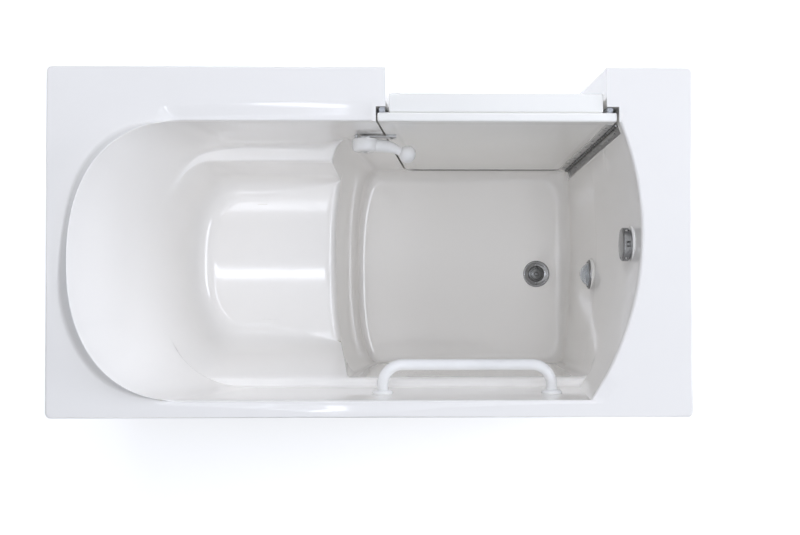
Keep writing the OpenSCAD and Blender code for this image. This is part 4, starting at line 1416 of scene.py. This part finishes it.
    def loft(self) -> bpy.types.Object:
        """Joins the columns into the shell's surface and gives it a wall.

        Returns:
            The closed shell, acrylic on its seen side and glass fibre behind.
        """
        columns = [self.filleted(keys) for keys in self.columns()]
        obj = lofted("tub_shell_moulding", list(zip(*columns)))
        with editing(obj):
            bpy.ops.mesh.remove_doubles(threshold=0.02 * MM)
            bpy.ops.mesh.normals_make_consistent(inside=False)
        with editing(obj):
            bpy.ops.mesh.dissolve_degenerate(threshold=0.02 * MM)
        deck_corner = Vector((-600, 360, DECK_Z)) * MM
        deck = min(obj.data.polygons, key=lambda face: (face.center - deck_corner).length)
        if deck.normal.z < 0:
            obj.data.flip_normals()
        for surface in (SLOT_FINISH["acrylic_white"], GLASS_FIBRE):
            obj.data.materials.append(surface.material())
        group = obj.vertex_groups.new(name="wall")
        for vertex in obj.data.vertices:
            group.add([vertex.index], self.share_of_wall(vertex.co / MM), "REPLACE")
        behind = {"offset": -1, "use_even_offset": False, "use_quality_normals": True, "material_offset": 1}
        modify(obj, "SOLIDIFY", thickness=self.wall * MM, vertex_group="wall", **behind)
        return obj

    def additions(self) -> list[bpy.types.Object]:
        """Returns the door jamb, its front flange, the hinge's land and the two pads.

        Returns:
            Solids to be joined to the shell.
        """
        pocket = door_prism("pocket", doorway(33, 29, 29, 30, 48), STEP_Y - 6, FACE_Y - 0.05)
        tunnel = door_prism("tunnel", doorway(6, 6, 6, 30, 42), -150, STEP_Y)
        flange = door_prism("flange", doorway(20, 20, 20, 30, 20), -170, -90)
        # Each is kept a hair inside the deck's top and front, and the flange to its own 6 mm.
        hair = 0.2
        for piece, inner in ((pocket, 0), (tunnel, 0), (flange, 6 - HALF_W)):
            low, high = (10 - HALF_L, hair - HALF_W, 52), (HALF_L - 10, inner, DECK_Z - hair)
            boolean(piece, "INTERSECT", [block("keep", low, high)])
        land = block("land", (-26, FACE_Y - 8, LAND_LOW), (-2, FACE_Y, LAND_HIGH), LAND_PLACE)
        pads = [
            lathe_x(name, [(0, -14), (r, -14), (r, -3), (r - 3, 0), (0, 0)], place)
            for name, r, place in (("overflow_pad", 43.5, OVERFLOW), ("light_pad", 40, LIGHT))
        ]
        return [pocket, tunnel, flange, land, *pads]

    def cuts(self) -> list[bpy.types.Object]:
        """Returns the doorway, the door's pocket, the hinge's recess and the holes.

        Returns:
            Solids to be cut from the shell.
        """
        return [
            door_prism("doorway", doorway(0, 0, 0, 80, 36), -200, STEP_Y + 1),
            door_prism("pocket_cut", doorway(27, 21, 19, 80, 45), STEP_Y, FACE_Y + 1),
            block("recess", (-26, FACE_Y, LAND_LOW), (6, 10.5, LAND_HIGH), LAND_PLACE),
            lathe_x("overflow_hole", [(0, -30), (25, -30), (25, 10), (0, 10)], OVERFLOW),
            lathe_x("light_hole", [(0, -30), (18, -30), (18, 10), (0, 10)], LIGHT),
        ]

    def build(self) -> None:
        """Builds the shell and stands it in for the CAD one."""
        shell = self.loft()
        boolean(shell, "UNION", self.additions())
        boolean(shell, "DIFFERENCE", self.cuts())
        dress(shell, "tub_shell", 38)


# ---- door, hinge and latch ------------------------------------------------------------------------


@dataclass
class Door:
    """The leaf with its hollow outer skin, foam core, framed inner panel, bulb seal and hinge.

    Attributes:
        skin_wall: Thickness of the skin and the panel's rim.
        edge_r: Rounding of their edges.
        crown: How far the skin stands out past its flat face.
        gap: Gap between the skin and the doorway.
        top_z: Top of the leaf, from the deck.
        field_border: Width of the panel's plain border.
        knuckle_r: Distance from the pin within which the hinge takes the darkened steel, painted shade of the
            gap round the knuckles.
    """

    skin_wall: float = 4.0
    edge_r: float = 4.0
    crown: float = 6.0
    gap: float = 7.0
    top_z: float = -2.0
    field_border: float = 30.0
    knuckle_r: float = 4.4

    def skin(self) -> None:
        """Makes the hollow skin that closes the doorway from outside."""
        w, gap = self.skin_wall, -self.gap
        piece = door_prism("door_skin", doorway(gap, gap, gap, self.top_z, 30), SKIN_Y - self.crown, PANEL_Y)
        bevelled(piece, self.edge_r, 4, 60)
        inside = doorway(gap - w, gap - w, gap - w, self.top_z - w, 26)
        boolean(piece, "DIFFERENCE", [door_prism("hollow", inside, SKIN_Y + w, PANEL_Y + 5)])
        dress(piece, "door_outer_skin", 30)

    def panel(self) -> None:
        """Makes the inner panel with its raised field and rolled edge."""
        piece = door_prism("door_panel", doorway(23, 18, 18, self.top_z, 44), PANEL_Y, FACE_Y)
        raise_field(piece, DOOR_PLACE.to_3x3() @ Vector((0, 1, 0)), self.field_border, slope=9, rise=1.6)
        bevelled(piece, self.edge_r, 4, 60)
        inside = doorway(-30, -50, -30, -32, 26)
        hollow = door_prism("hollow", inside, PANEL_Y - 5, FACE_Y - self.skin_wall - 2)
        boolean(piece, "DIFFERENCE", [hollow])
        dress(piece, "door_inner_panel", 30)

    def seal(self) -> None:
        """Makes the rounded seal that runs up both sides and under the door."""
        ring = door_prism("door_bulb_seal", doorway(15, 15, 15, self.top_z, 42), SEAL_Y, PANEL_Y)
        bevelled(ring, 4.5, 4, 60)
        inside = door_prism("inside", doorway(2, 2, 2, 30, 36), SEAL_Y - 5, PANEL_Y + 5)
        boolean(ring, "DIFFERENCE", [inside])
        dress(ring, "door_seal", 30)

    def hinge(self) -> None:
        """Rounds the continuous hinge's leaves and knuckles and sets its screws."""
        to_pin = DOOR_PLACE.inverted()
        for node, finish in (("door_hinge_leaf", LEAF_WHITE), ("jamb_hinge_leaf", LEAF_SATIN)):
            leaf = bevelled(copy_of(node, f"{node}_finished"), 0.35, 2)
            for surface in (SLOT_FINISH["hinge_steel"], finish):
                leaf.data.materials.append(surface.material())
            # Faces within knuckle_r of the pin take the darkened steel, painted shade of the gap round the
            # knuckles.
            for face in leaf.data.polygons:
                from_pin = to_pin @ face.center / MM
                face.material_index = int(math.hypot(from_pin.x, from_pin.y) > self.knuckle_r)
            dress(leaf, node)
        softened("hinge_pin", 0.6)
        head = [(2.5, -1.2), (3.25, -1.05), (3.3, -0.8), (2.9, -0.35), (1.9, -0.06), (0, 0)]
        for node, place in (("door_hinge_screws", DOOR_PLACE), ("jamb_hinge_screws", LAND_PLACE)):
            fasteners(node, 1.75, head, 1.9, place.to_3x3() @ Vector((0, 1, 0)))

    def build(self) -> None:
        """Builds the door."""
        self.skin()
        self.panel()
        self.seal()
        self.hinge()
        softened("door_core", 2.0)


@dataclass
class Latch:
    """The lever with its ovoid knob, the plate it turns on, the claw and the keeper.

    Attributes:
        hub_y: Where the hub starts, from the door's face.
        tilt_deg: How much the arm rises.
        reach: Distance of the knob's middle along the arm.
    """

    hub_y: float = 5.6
    tilt_deg: float = 12.0
    reach: float = 100.0

    def along(self, distance: float, sink: float = 0.0) -> Vector:
        """Returns a point of the arm's axis in the latch's frame, in millimetres.

        Args:
            distance: How far along the arm, from the hub.
            sink: How far below the axis.

        Returns:
            The point.
        """
        tilt = math.radians(self.tilt_deg)
        rise = self.hub_y + 14.5 - sink
        return Vector((-distance * math.cos(tilt), 0, rise + distance * math.sin(tilt)))

    def lever(self) -> None:
        """Makes the domed hub and the arm that flares out of it, as one casting."""
        y = self.hub_y
        side = [(0, 0), (28.6, 0), (29.6, 0.8), (30, 2), (29.8, 12), (29.2, 20), (27.8, 25), (25.2, 27.9)]
        top = [(21, 29.3), (14, 29.9), (8.2, 30), (7.6, 29.6), (7.4, 25), (0, 25)]
        hub = turned("lever_casting", [(r, y + z) for r, z in side + top], 72)
        # Each station: distance along the arm, radius and how far the section is sunk.
        stations = [(8, 14.4, 1.4), (18, 14.8, 3.4), (28, 14.9, 5.4), (42, 14.8, 7.8), (54, 14.2, 8.6)]
        stations += [(64, 12.8, 8.2), (72, 11.1, 6.6), (80, 9.9, 4.2), (86, 10, 2.8), (90, 10.8, 1.8)]
        arm = swept("arm", [self.along(d, sink) for d, _, sink in stations], [r for _, r, _ in stations], 36)
        boolean(hub, "UNION", [arm])
        boolean(hub, "DIFFERENCE", [slab("bore", circle(4.2), y - 1, y + 24.5)])
        dress(hub, "latch_lever", 40, LATCH_PLACE)

    def knob(self) -> None:
        """Makes the ovoid knob."""
        deselect()
        bpy.ops.mesh.primitive_uv_sphere_add(segments=48, ring_count=32, radius=1)
        ball = bpy.context.object
        ball.name = "lever_ball"
        size = Matrix.Diagonal((19.2 * MM, 20 * MM, 20.8 * MM, 1))
        place = LATCH_PLACE @ at(*self.along(self.reach)) @ turn_about("Y", self.tilt_deg) @ size
        dress(ball, "lever_knob", 60, place)

    def build(self) -> None:
        """Builds the latch."""
        self.lever()
        self.knob()
        way = LATCH_PLACE.to_3x3() @ Vector((0, 0, 1))
        head = [(6.4, -4), (7, -3.6), (7, -1.1), (6.2, -0.3), (4.4, 0), (0, 0)]
        fasteners("lever_screw", 2.5, head, 3.4, way)
        head = [(3, -2), (3.9, -1.7), (4, -1.3), (3.3, -0.5), (1.9, -0.06), (0, 0)]
        fasteners("latch_plate_screws", 2.0, head, 2.2, way)
        soften_all(latch_plate=0.6, latch_cam=0.4, lever_spindle=0.5, keeper_stud=0.5, keeper_nut=0.5)


# ---- grab bar ---------------------------------------------------------------------------------------


@dataclass
class GrabBar:
    """A bent tube on two domed flanges, bolted through the wall.

    Attributes:
        middle_x: X of the bar's middle.
        drop: How far it is below the deck.
        half: Half the distance between its legs.
        out: How far it stands out from the wall.
        bend: Radius of its bends.
        radius: Radius of the tube.
    """

    middle_x: float = -216.0
    drop: float = 120.0
    half: float = 190.0
    out: float = 65.0
    bend: float = 45.0
    radius: float = 12.5

    def path(self) -> list[Vector]:
        """Returns the middle line of the tube, from one wall end to the other.

        Returns:
            Points in the bar's own frame.
        """
        legs = []
        for side in (-1, 1):
            leg = [Vector((side * self.half, y, 0)) for y in (0.0, -7.0, -14.0)]
            for c, s in quarter(16):
                x, y = self.half - self.bend * (1 - c), self.bend - self.out - self.bend * s
                leg.append(Vector((side * x, y, 0)))
            legs.append(leg)
        return legs[0] + [Vector((x, -self.out, 0)) for x in (-70.0, 0.0, 70.0)] + legs[1][::-1]

    def build(self) -> None:
        """Builds the bar, its flanges and its fixings."""
        z = DECK_Z - self.drop
        wall_slope = math.degrees(math.atan(BACK_IN / (CREST_Z - REST_Z)))
        place = at(self.middle_x, back_at(z), z) @ turn_about("X", -wall_slope)
        path = self.path()
        dress(swept("grab_bar_tube", path, [self.radius] * len(path), 40), "grab_bar", 45, place)
        bore, foot = 12.55, [(22.6, 0), (23, 0.5), (23, 3.4), (22.3, 5.4), (20.4, 7.4), (17.2, 9.1)]
        profile = [(bore, 0), *foot, (14.2, 9.9), (12.9, 9.9), (bore, 9.5)]
        flanges = [turned("flange", profile) for _ in range(2)]
        for flange, side in zip(flanges, (-1, 1)):
            settle(flange, place @ at(side * self.half, 0, 0) @ turn_about("X", 90))
        dress(joined(flanges, "grab_bar_domed_flanges"), "grab_bar_flanges", 40)
        soften_all(grab_bar_plugs=0.5, grab_bar_bolts=0.6)


# ---- waste, overflow and light ----------------------------------------------------------------------


class Waste:
    """The drain with its dished flange and lift-up stopper, and the pipework under the well."""

    def flange(self) -> None:
        """Makes the flange, dished towards its bore."""
        rim = [(36.2, 0), (36.5, 0.25), (36.1, 1.3), (34.9, 2.2), (33.2, 2.6), (31.4, 2.4), (29.2, 1.5)]
        dish = [(26.2, 0.6), (23.2, 0.1), (20.6, -0.3), (19.4, -0.9), (19, -2), (19, -20)]
        profile = [(22.5, -20), (22.5, 0), *rim, *dish]
        dress(turned("drain_dished_flange", profile, 72), "drain_flange", 35, at(*DRAIN))

    def stopper(self) -> None:
        """Makes the domed stopper with the recess in its cap."""
        stem = [(0, -20), (3, -20), (3, -1.5), (18.2, -1.5), (18.5, -1.2), (18.5, 1.2), (21.4, 1.5)]
        dome = [(21.9, 1.9), (21.7, 2.6), (20.4, 3.4), (17.6, 4.2), (16.4, 4.35), (15.6, 3.7), (14.8, 4.6)]
        cap = [(10.5, 5.4), (6.4, 5.8), (5.6, 5.3), (4.8, 5.9), (2.4, 6), (0, 6)]
        piece = turned("drain_domed_stopper", stem + dome + cap, 72)
        boolean(piece, "DIFFERENCE", cross_recess(3.0, 4.9, 8))
        # The cap's chrome is darkened: a painted dim reflection.
        dress(piece, "drain_stopper", 35, at(*DRAIN), DIMMED_REFLECTION_CHROME)

    def build(self) -> None:
        """Builds the drain and rounds the pipework."""
        self.flange()
        self.stopper()
        soften_all(drain_gasket=0.8, drain_nut=1.0, drain_shoe=1.2, waste_pipe=0.6, waste_tee=1.2)
        soften_all(overflow_pipe=0.6, overflow_body=1.2, overflow_gasket=0.5, stopper_cable=0.5)


@dataclass
class Overflow:
    """The turning control over the overflow: a chrome cup with six scoops in its rim, on a slotted plate.

    Attributes:
        radius: Radius of the cup.
        lift: Distance of its open side from the wall.
        scoop_r: Radius of a scoop.
    """

    radius: float = 37.5
    lift: float = 4.2
    scoop_r: float = 6.5

    def build(self) -> None:
        """Builds the knob and rounds the plate behind it."""
        r, z = self.radius, self.lift
        inside = [(0, -22), (5, -22), (5, 0), (28, 0), (28, 6.5), (30, 8.5), (33.5, 8.5), (35, 7), (35, 0)]
        outside = [(r - 0.7, 0), (r - 0.1, 0.6), (r, 11), (r - 0.5, 13), (r - 2.6, 14.6), (r - 8, 15.5)]
        top = [(r - 16, 15.9), (8, 16), (0, 16)]
        knob = turned("overflow_cup", [(x, z + y) for x, y in inside + outside + top], 96)
        scoops = []
        for cx, cy in circle(r + 1, 6):
            outline = [(cx + x, cy + y) for x, y in circle(self.scoop_r, 24)]
            scoops.append(slab("scoop", outline, z - 1, z + 9))
        boolean(knob, "DIFFERENCE", scoops)
        dress(knob, "overflow_knob", 35, at(*OVERFLOW) @ turn_about("Y", 90), SATIN_CHROME)
        softened("overflow_plate", 0.6)


@dataclass
class WellLight:
    """The round light in the foot wall: a clear dome over a pale reflector, held by a chrome ring.

    Attributes:
        half: Half the dome's width.
        height: The dome's height.
        bead_ring: Radius of the circle that the emitters stand on.
    """

    half: float = 30.0
    height: float = 24.0
    bead_ring: float = 13.0

    def dome(self) -> None:
        """Makes the hollow dome, a part of a sphere."""
        radius = (self.half**2 + self.height**2) / (2 * self.height)
        arc = math.asin(min(self.half / radius, 1))
        turns = [arc * (1 - k / 16) for k in range(17)]
        outside = [(radius * math.sin(a), self.height - radius + radius * math.cos(a)) for a in turns]
        inside = [(x * 0.9, max(y * 0.9 - 0.6, 0.0)) for x, y in outside]
        dress(lathe_x("light_dome", [*outside, *inside[::-1]], LIGHT, 72), "light_lens", 40)

    def reflector(self) -> None:
        """Makes the reflector with its six emitters."""
        rim, well = [(0, 0.2), (26.4, 0.2), (26.4, 5.4), (25.2, 5.6)], [(22, 2.6), (14, 1.5), (7.5, 1.3)]
        pieces = [lathe_x("light_reflector", [*rim, *well, (7.2, 3.4), (0, 3.6)], LIGHT)]
        for k in range(6):
            a = math.radians(60 * k + 30)
            y, z = LIGHT[1] + self.bead_ring * math.cos(a), LIGHT[2] + self.bead_ring * math.sin(a)
            bead = [(0, 0), (2.4, 0), (2.2, 1.2), (1.3, 2), (0, 2.3)]
            pieces.append(lathe_x("bead", bead, (LIGHT[0] + 1.6, y, z), 16))
        dress(joined(pieces, "light_reflector"), "light_housing", 40, finish=REFLECTOR)

    def build(self) -> None:
        """Builds the dome, its ring, the reflector and what holds them."""
        self.dome()
        outside, inside = [(37, 0), (36.8, 1), (35.6, 3.2), (34, 4.6)], [(31.2, 4.7), (30.5, 4), (30.3, 3)]
        ring = [(30.3, 0), *outside, (32.6, 5), *inside]
        dress(lathe_x("light_chrome_ring", ring, LIGHT, 72), "light_bezel", 40)
        self.reflector()
        soften_all(light_nut=0.8, light_housing=0.8)


class Carcass:
    """The welded frame, feet, boards and skirt panels that the shell stands in."""

    rails = "long_rails cross_rails posts top_rails top_cross_rails".split()
    seat_rails = ("seat_base_rails", "seat_rails", "seat_legs")
    panels = ("front_panel_head", "front_panel_foot", "threshold_panel", "end_panel_head", "end_panel_foot")

    def build(self) -> None:
        """Rounds the edges that their making leaves and sets the panel screws."""
        for node in (*(f"frame_{name}" for name in self.rails), *self.seat_rails):
            softened(node, 1.6)
        for node in self.panels:
            softened(node, 1.5, 3)
        soften_all(floor_board=1.0, seat_board=1.0, levelling_feet=1.2, foot_lock_nuts=0.8)
        head = [(4.2, -2), (4.5, -1.8), (4.5, -1.3), (3.9, -0.55), (2.3, -0.08), (0, 0)]
        fasteners("panel_screws", 2.0, head, 2.6)


# ---- room, light and camera ---------------------------------------------------------------------

DAYLIGHT = "EEF3FF"


@dataclass(frozen=True)
class Lamp:
    """A softbox.

    Attributes:
        name: Name of the lamp.
        place: Its middle, in metres.
        size: Its sides, in metres.
        watts: Its power.
        aim: What it points at.
        mirrored: True where gloss shows it.
    """

    name: str
    place: Point
    size: Flat
    watts: float
    aim: Point = (0, 0, 0.7)
    mirrored: bool = False

    def hang(self) -> None:
        """Hangs the lamp and points it."""
        data = bpy.data.lights.new(self.name, "AREA")
        data.shape = "RECTANGLE"
        data.size, data.size_y = self.size
        data.energy = self.watts
        data.color = linear(DAYLIGHT)[:3]
        obj = bpy.data.objects.new(self.name, data)
        obj.location = self.place
        obj.rotation_euler = (Vector(self.aim) - Vector(self.place)).to_track_quat("-Z", "Y").to_euler()
        obj.visible_glossy = self.mirrored
        bpy.context.scene.collection.objects.link(obj)


def strip(name: str, y: float, watts: float) -> Lamp:
    """Returns a narrow lamp over the seat, which the seat and its coves mirror as a bright line."""
    return Lamp(name, (0.46, y, 3.9), (0.74, 0.045), watts, (0.46, y, 0), True)


LAMPS = (
    Lamp("ceiling_panel", (0.2, -0.9, 9.0), (4.5, 3.6), 194),
    Lamp("foot_softbox", (-3.6, -0.3, 1.6), (2.2, 1.1), 76, (0.5, 0, 0.8)),
    Lamp("wall_softbox", (-0.3, 1.7, 4.2), (2.0, 1.2), 20, (0, -0.2, 0.8)),
    Lamp("door_softbox", (0.2, -2.6, 2.8), (2.4, 1.6), 36, (0, 0.2, 0.8)),
    strip("strip_door_side", -0.33, 0.5),
    strip("strip_middle", 0.0, 0.9),
    strip("strip_wall_side", 0.31, 0.5),
    Lamp("wall_panel", (0.45, 1.35, 3.2), (0.8, 0.5), 3.6, (0.25, -0.2, 0.9), True),
    Lamp("door_strip", (0.45, -1.5, 3.3), (0.85, 0.2), 1.8, (0.25, 0.2, 0.9), True),
    Lamp("foot_window", (-1.9, 0.02, 3.4), (0.95, 0.6), 11, (0, 0.02, 0.5), True),
    Lamp("head_window", (2.0, -0.1, 3.3), (0.5, 0.4), 3.4, (0, -0.1, 0.5), True),
)


@dataclass
class Studio:
    """A pale floor, softboxes round the tub and the camera high above it.

    Attributes:
        camera_m: Where the camera is, in metres.
        tilt_deg: The turn that tilts it from straight down, as an axis times degrees.
        focal_px: Its focal length, in pixels of the photograph.
        sensor_mm: Width of its sensor.
        fill: Strength of the even light from all round.
        floor_glow: Light added to the floor where it is seen, so that it shows white.
    """

    camera_m: Point = (0.0121, 0.1246, 3.985)
    tilt_deg: Point = (-1.303, 1.41, -0.023)
    focal_px: float = 1400.0
    sensor_mm: float = 36.0
    fill: float = 0.12
    floor_glow: float = 0.62

    def looked_at(self, tree: bpy.types.NodeTree) -> bpy.types.NodeSocket:
        """Returns 1 where a surface is seen, mirrored or through glass too, and 0 where it only lights.

        Args:
            tree: The node tree to add to.

        Returns:
            The socket that carries the 1 or the 0.
        """
        rays = add(tree, "ShaderNodeLightPath").outputs
        seen = rays["Is Camera Ray"]
        for kind in ("Is Glossy Ray", "Is Transmission Ray"):
            either = add(tree, "ShaderNodeMath", seen, rays[kind])
            either.use_clamp = True
            seen = either.outputs[0]
        return seen

    def floor(self) -> None:
        """Lays a floor that keeps the tub's shadow and shows white to the camera."""
        deselect()
        bpy.ops.mesh.primitive_plane_add(size=40, location=(0, 0, -0.0005))
        plane = bpy.context.object
        plane.name = "studio_floor"
        settle(plane)
        mat = bpy.data.materials.new("studio_floor_paint")
        tree = blank_tree(mat)
        values = {"Base Color": linear("E4E5E8"), "Roughness": 0.9, "Specular IOR Level": 0.1}
        paint = add(tree, "ShaderNodeBsdfPrincipled", **values).outputs[0]
        glow = add(tree, "ShaderNodeEmission", Strength=self.floor_glow).outputs[0]
        lit = add(tree, "ShaderNodeAddShader", paint, glow).outputs[0]
        seen = add(tree, "ShaderNodeMixShader", self.looked_at(tree), paint, lit)
        add(tree, "ShaderNodeOutputMaterial", seen.outputs[0])
        plane.data.materials.append(mat)

    def world(self) -> None:
        """Fills the room with even light that shows as white."""
        world = bpy.data.worlds.new("studio_air")
        bpy.context.scene.world = world
        tree = blank_tree(world)
        fill = add(tree, "ShaderNodeBackground", Color=linear(DAYLIGHT), Strength=self.fill).outputs[0]
        white = add(tree, "ShaderNodeBackground", Color=(1, 1, 1, 1), Strength=1.0).outputs[0]
        air = add(tree, "ShaderNodeMixShader", self.looked_at(tree), fill, white)
        add(tree, "ShaderNodeOutputWorld", air.outputs[0])

    def camera(self) -> None:
        """Sets the camera where the photograph was taken from."""
        data = bpy.data.cameras.new("photo_camera")
        data.sensor_width = self.sensor_mm
        data.lens = self.focal_px * self.sensor_mm / PHOTO_W
        obj = bpy.data.objects.new("photo_camera", data)
        base = Matrix(((-1, 0, 0), (0, -1, 0), (0, 0, 1))).to_4x4()
        turn = Vector([math.radians(a) for a in self.tilt_deg])
        tilt = Matrix.Rotation(turn.length, 4, turn.normalized())
        obj.matrix_world = Matrix.Translation(Vector(self.camera_m)) @ tilt @ base
        bpy.context.scene.collection.objects.link(obj)
        bpy.context.scene.camera = obj

    def build(self) -> None:
        """Sets up the room."""
        self.floor()
        self.world()
        self.camera()
        for lamp in LAMPS:
            lamp.hang()
        bpy.context.scene.view_settings.view_transform = "Standard"


def main() -> None:
    """Builds the tub's sub-assemblies in order and the room round them."""
    logging.basicConfig(level=logging.INFO, format="%(message)s")
    for part in (TubShell(), Door(), Latch(), GrabBar(), Waste(), Overflow(), WellLight(), Carcass()):
        part.build()
    for node, slot_name in SLOT_OF.items():
        materials = frame["nodes"][node].data.materials
        materials.clear()
        materials.append(SLOT_FINISH[slot_name].material())
    Studio().build()


if __name__ == "__main__":
    main()
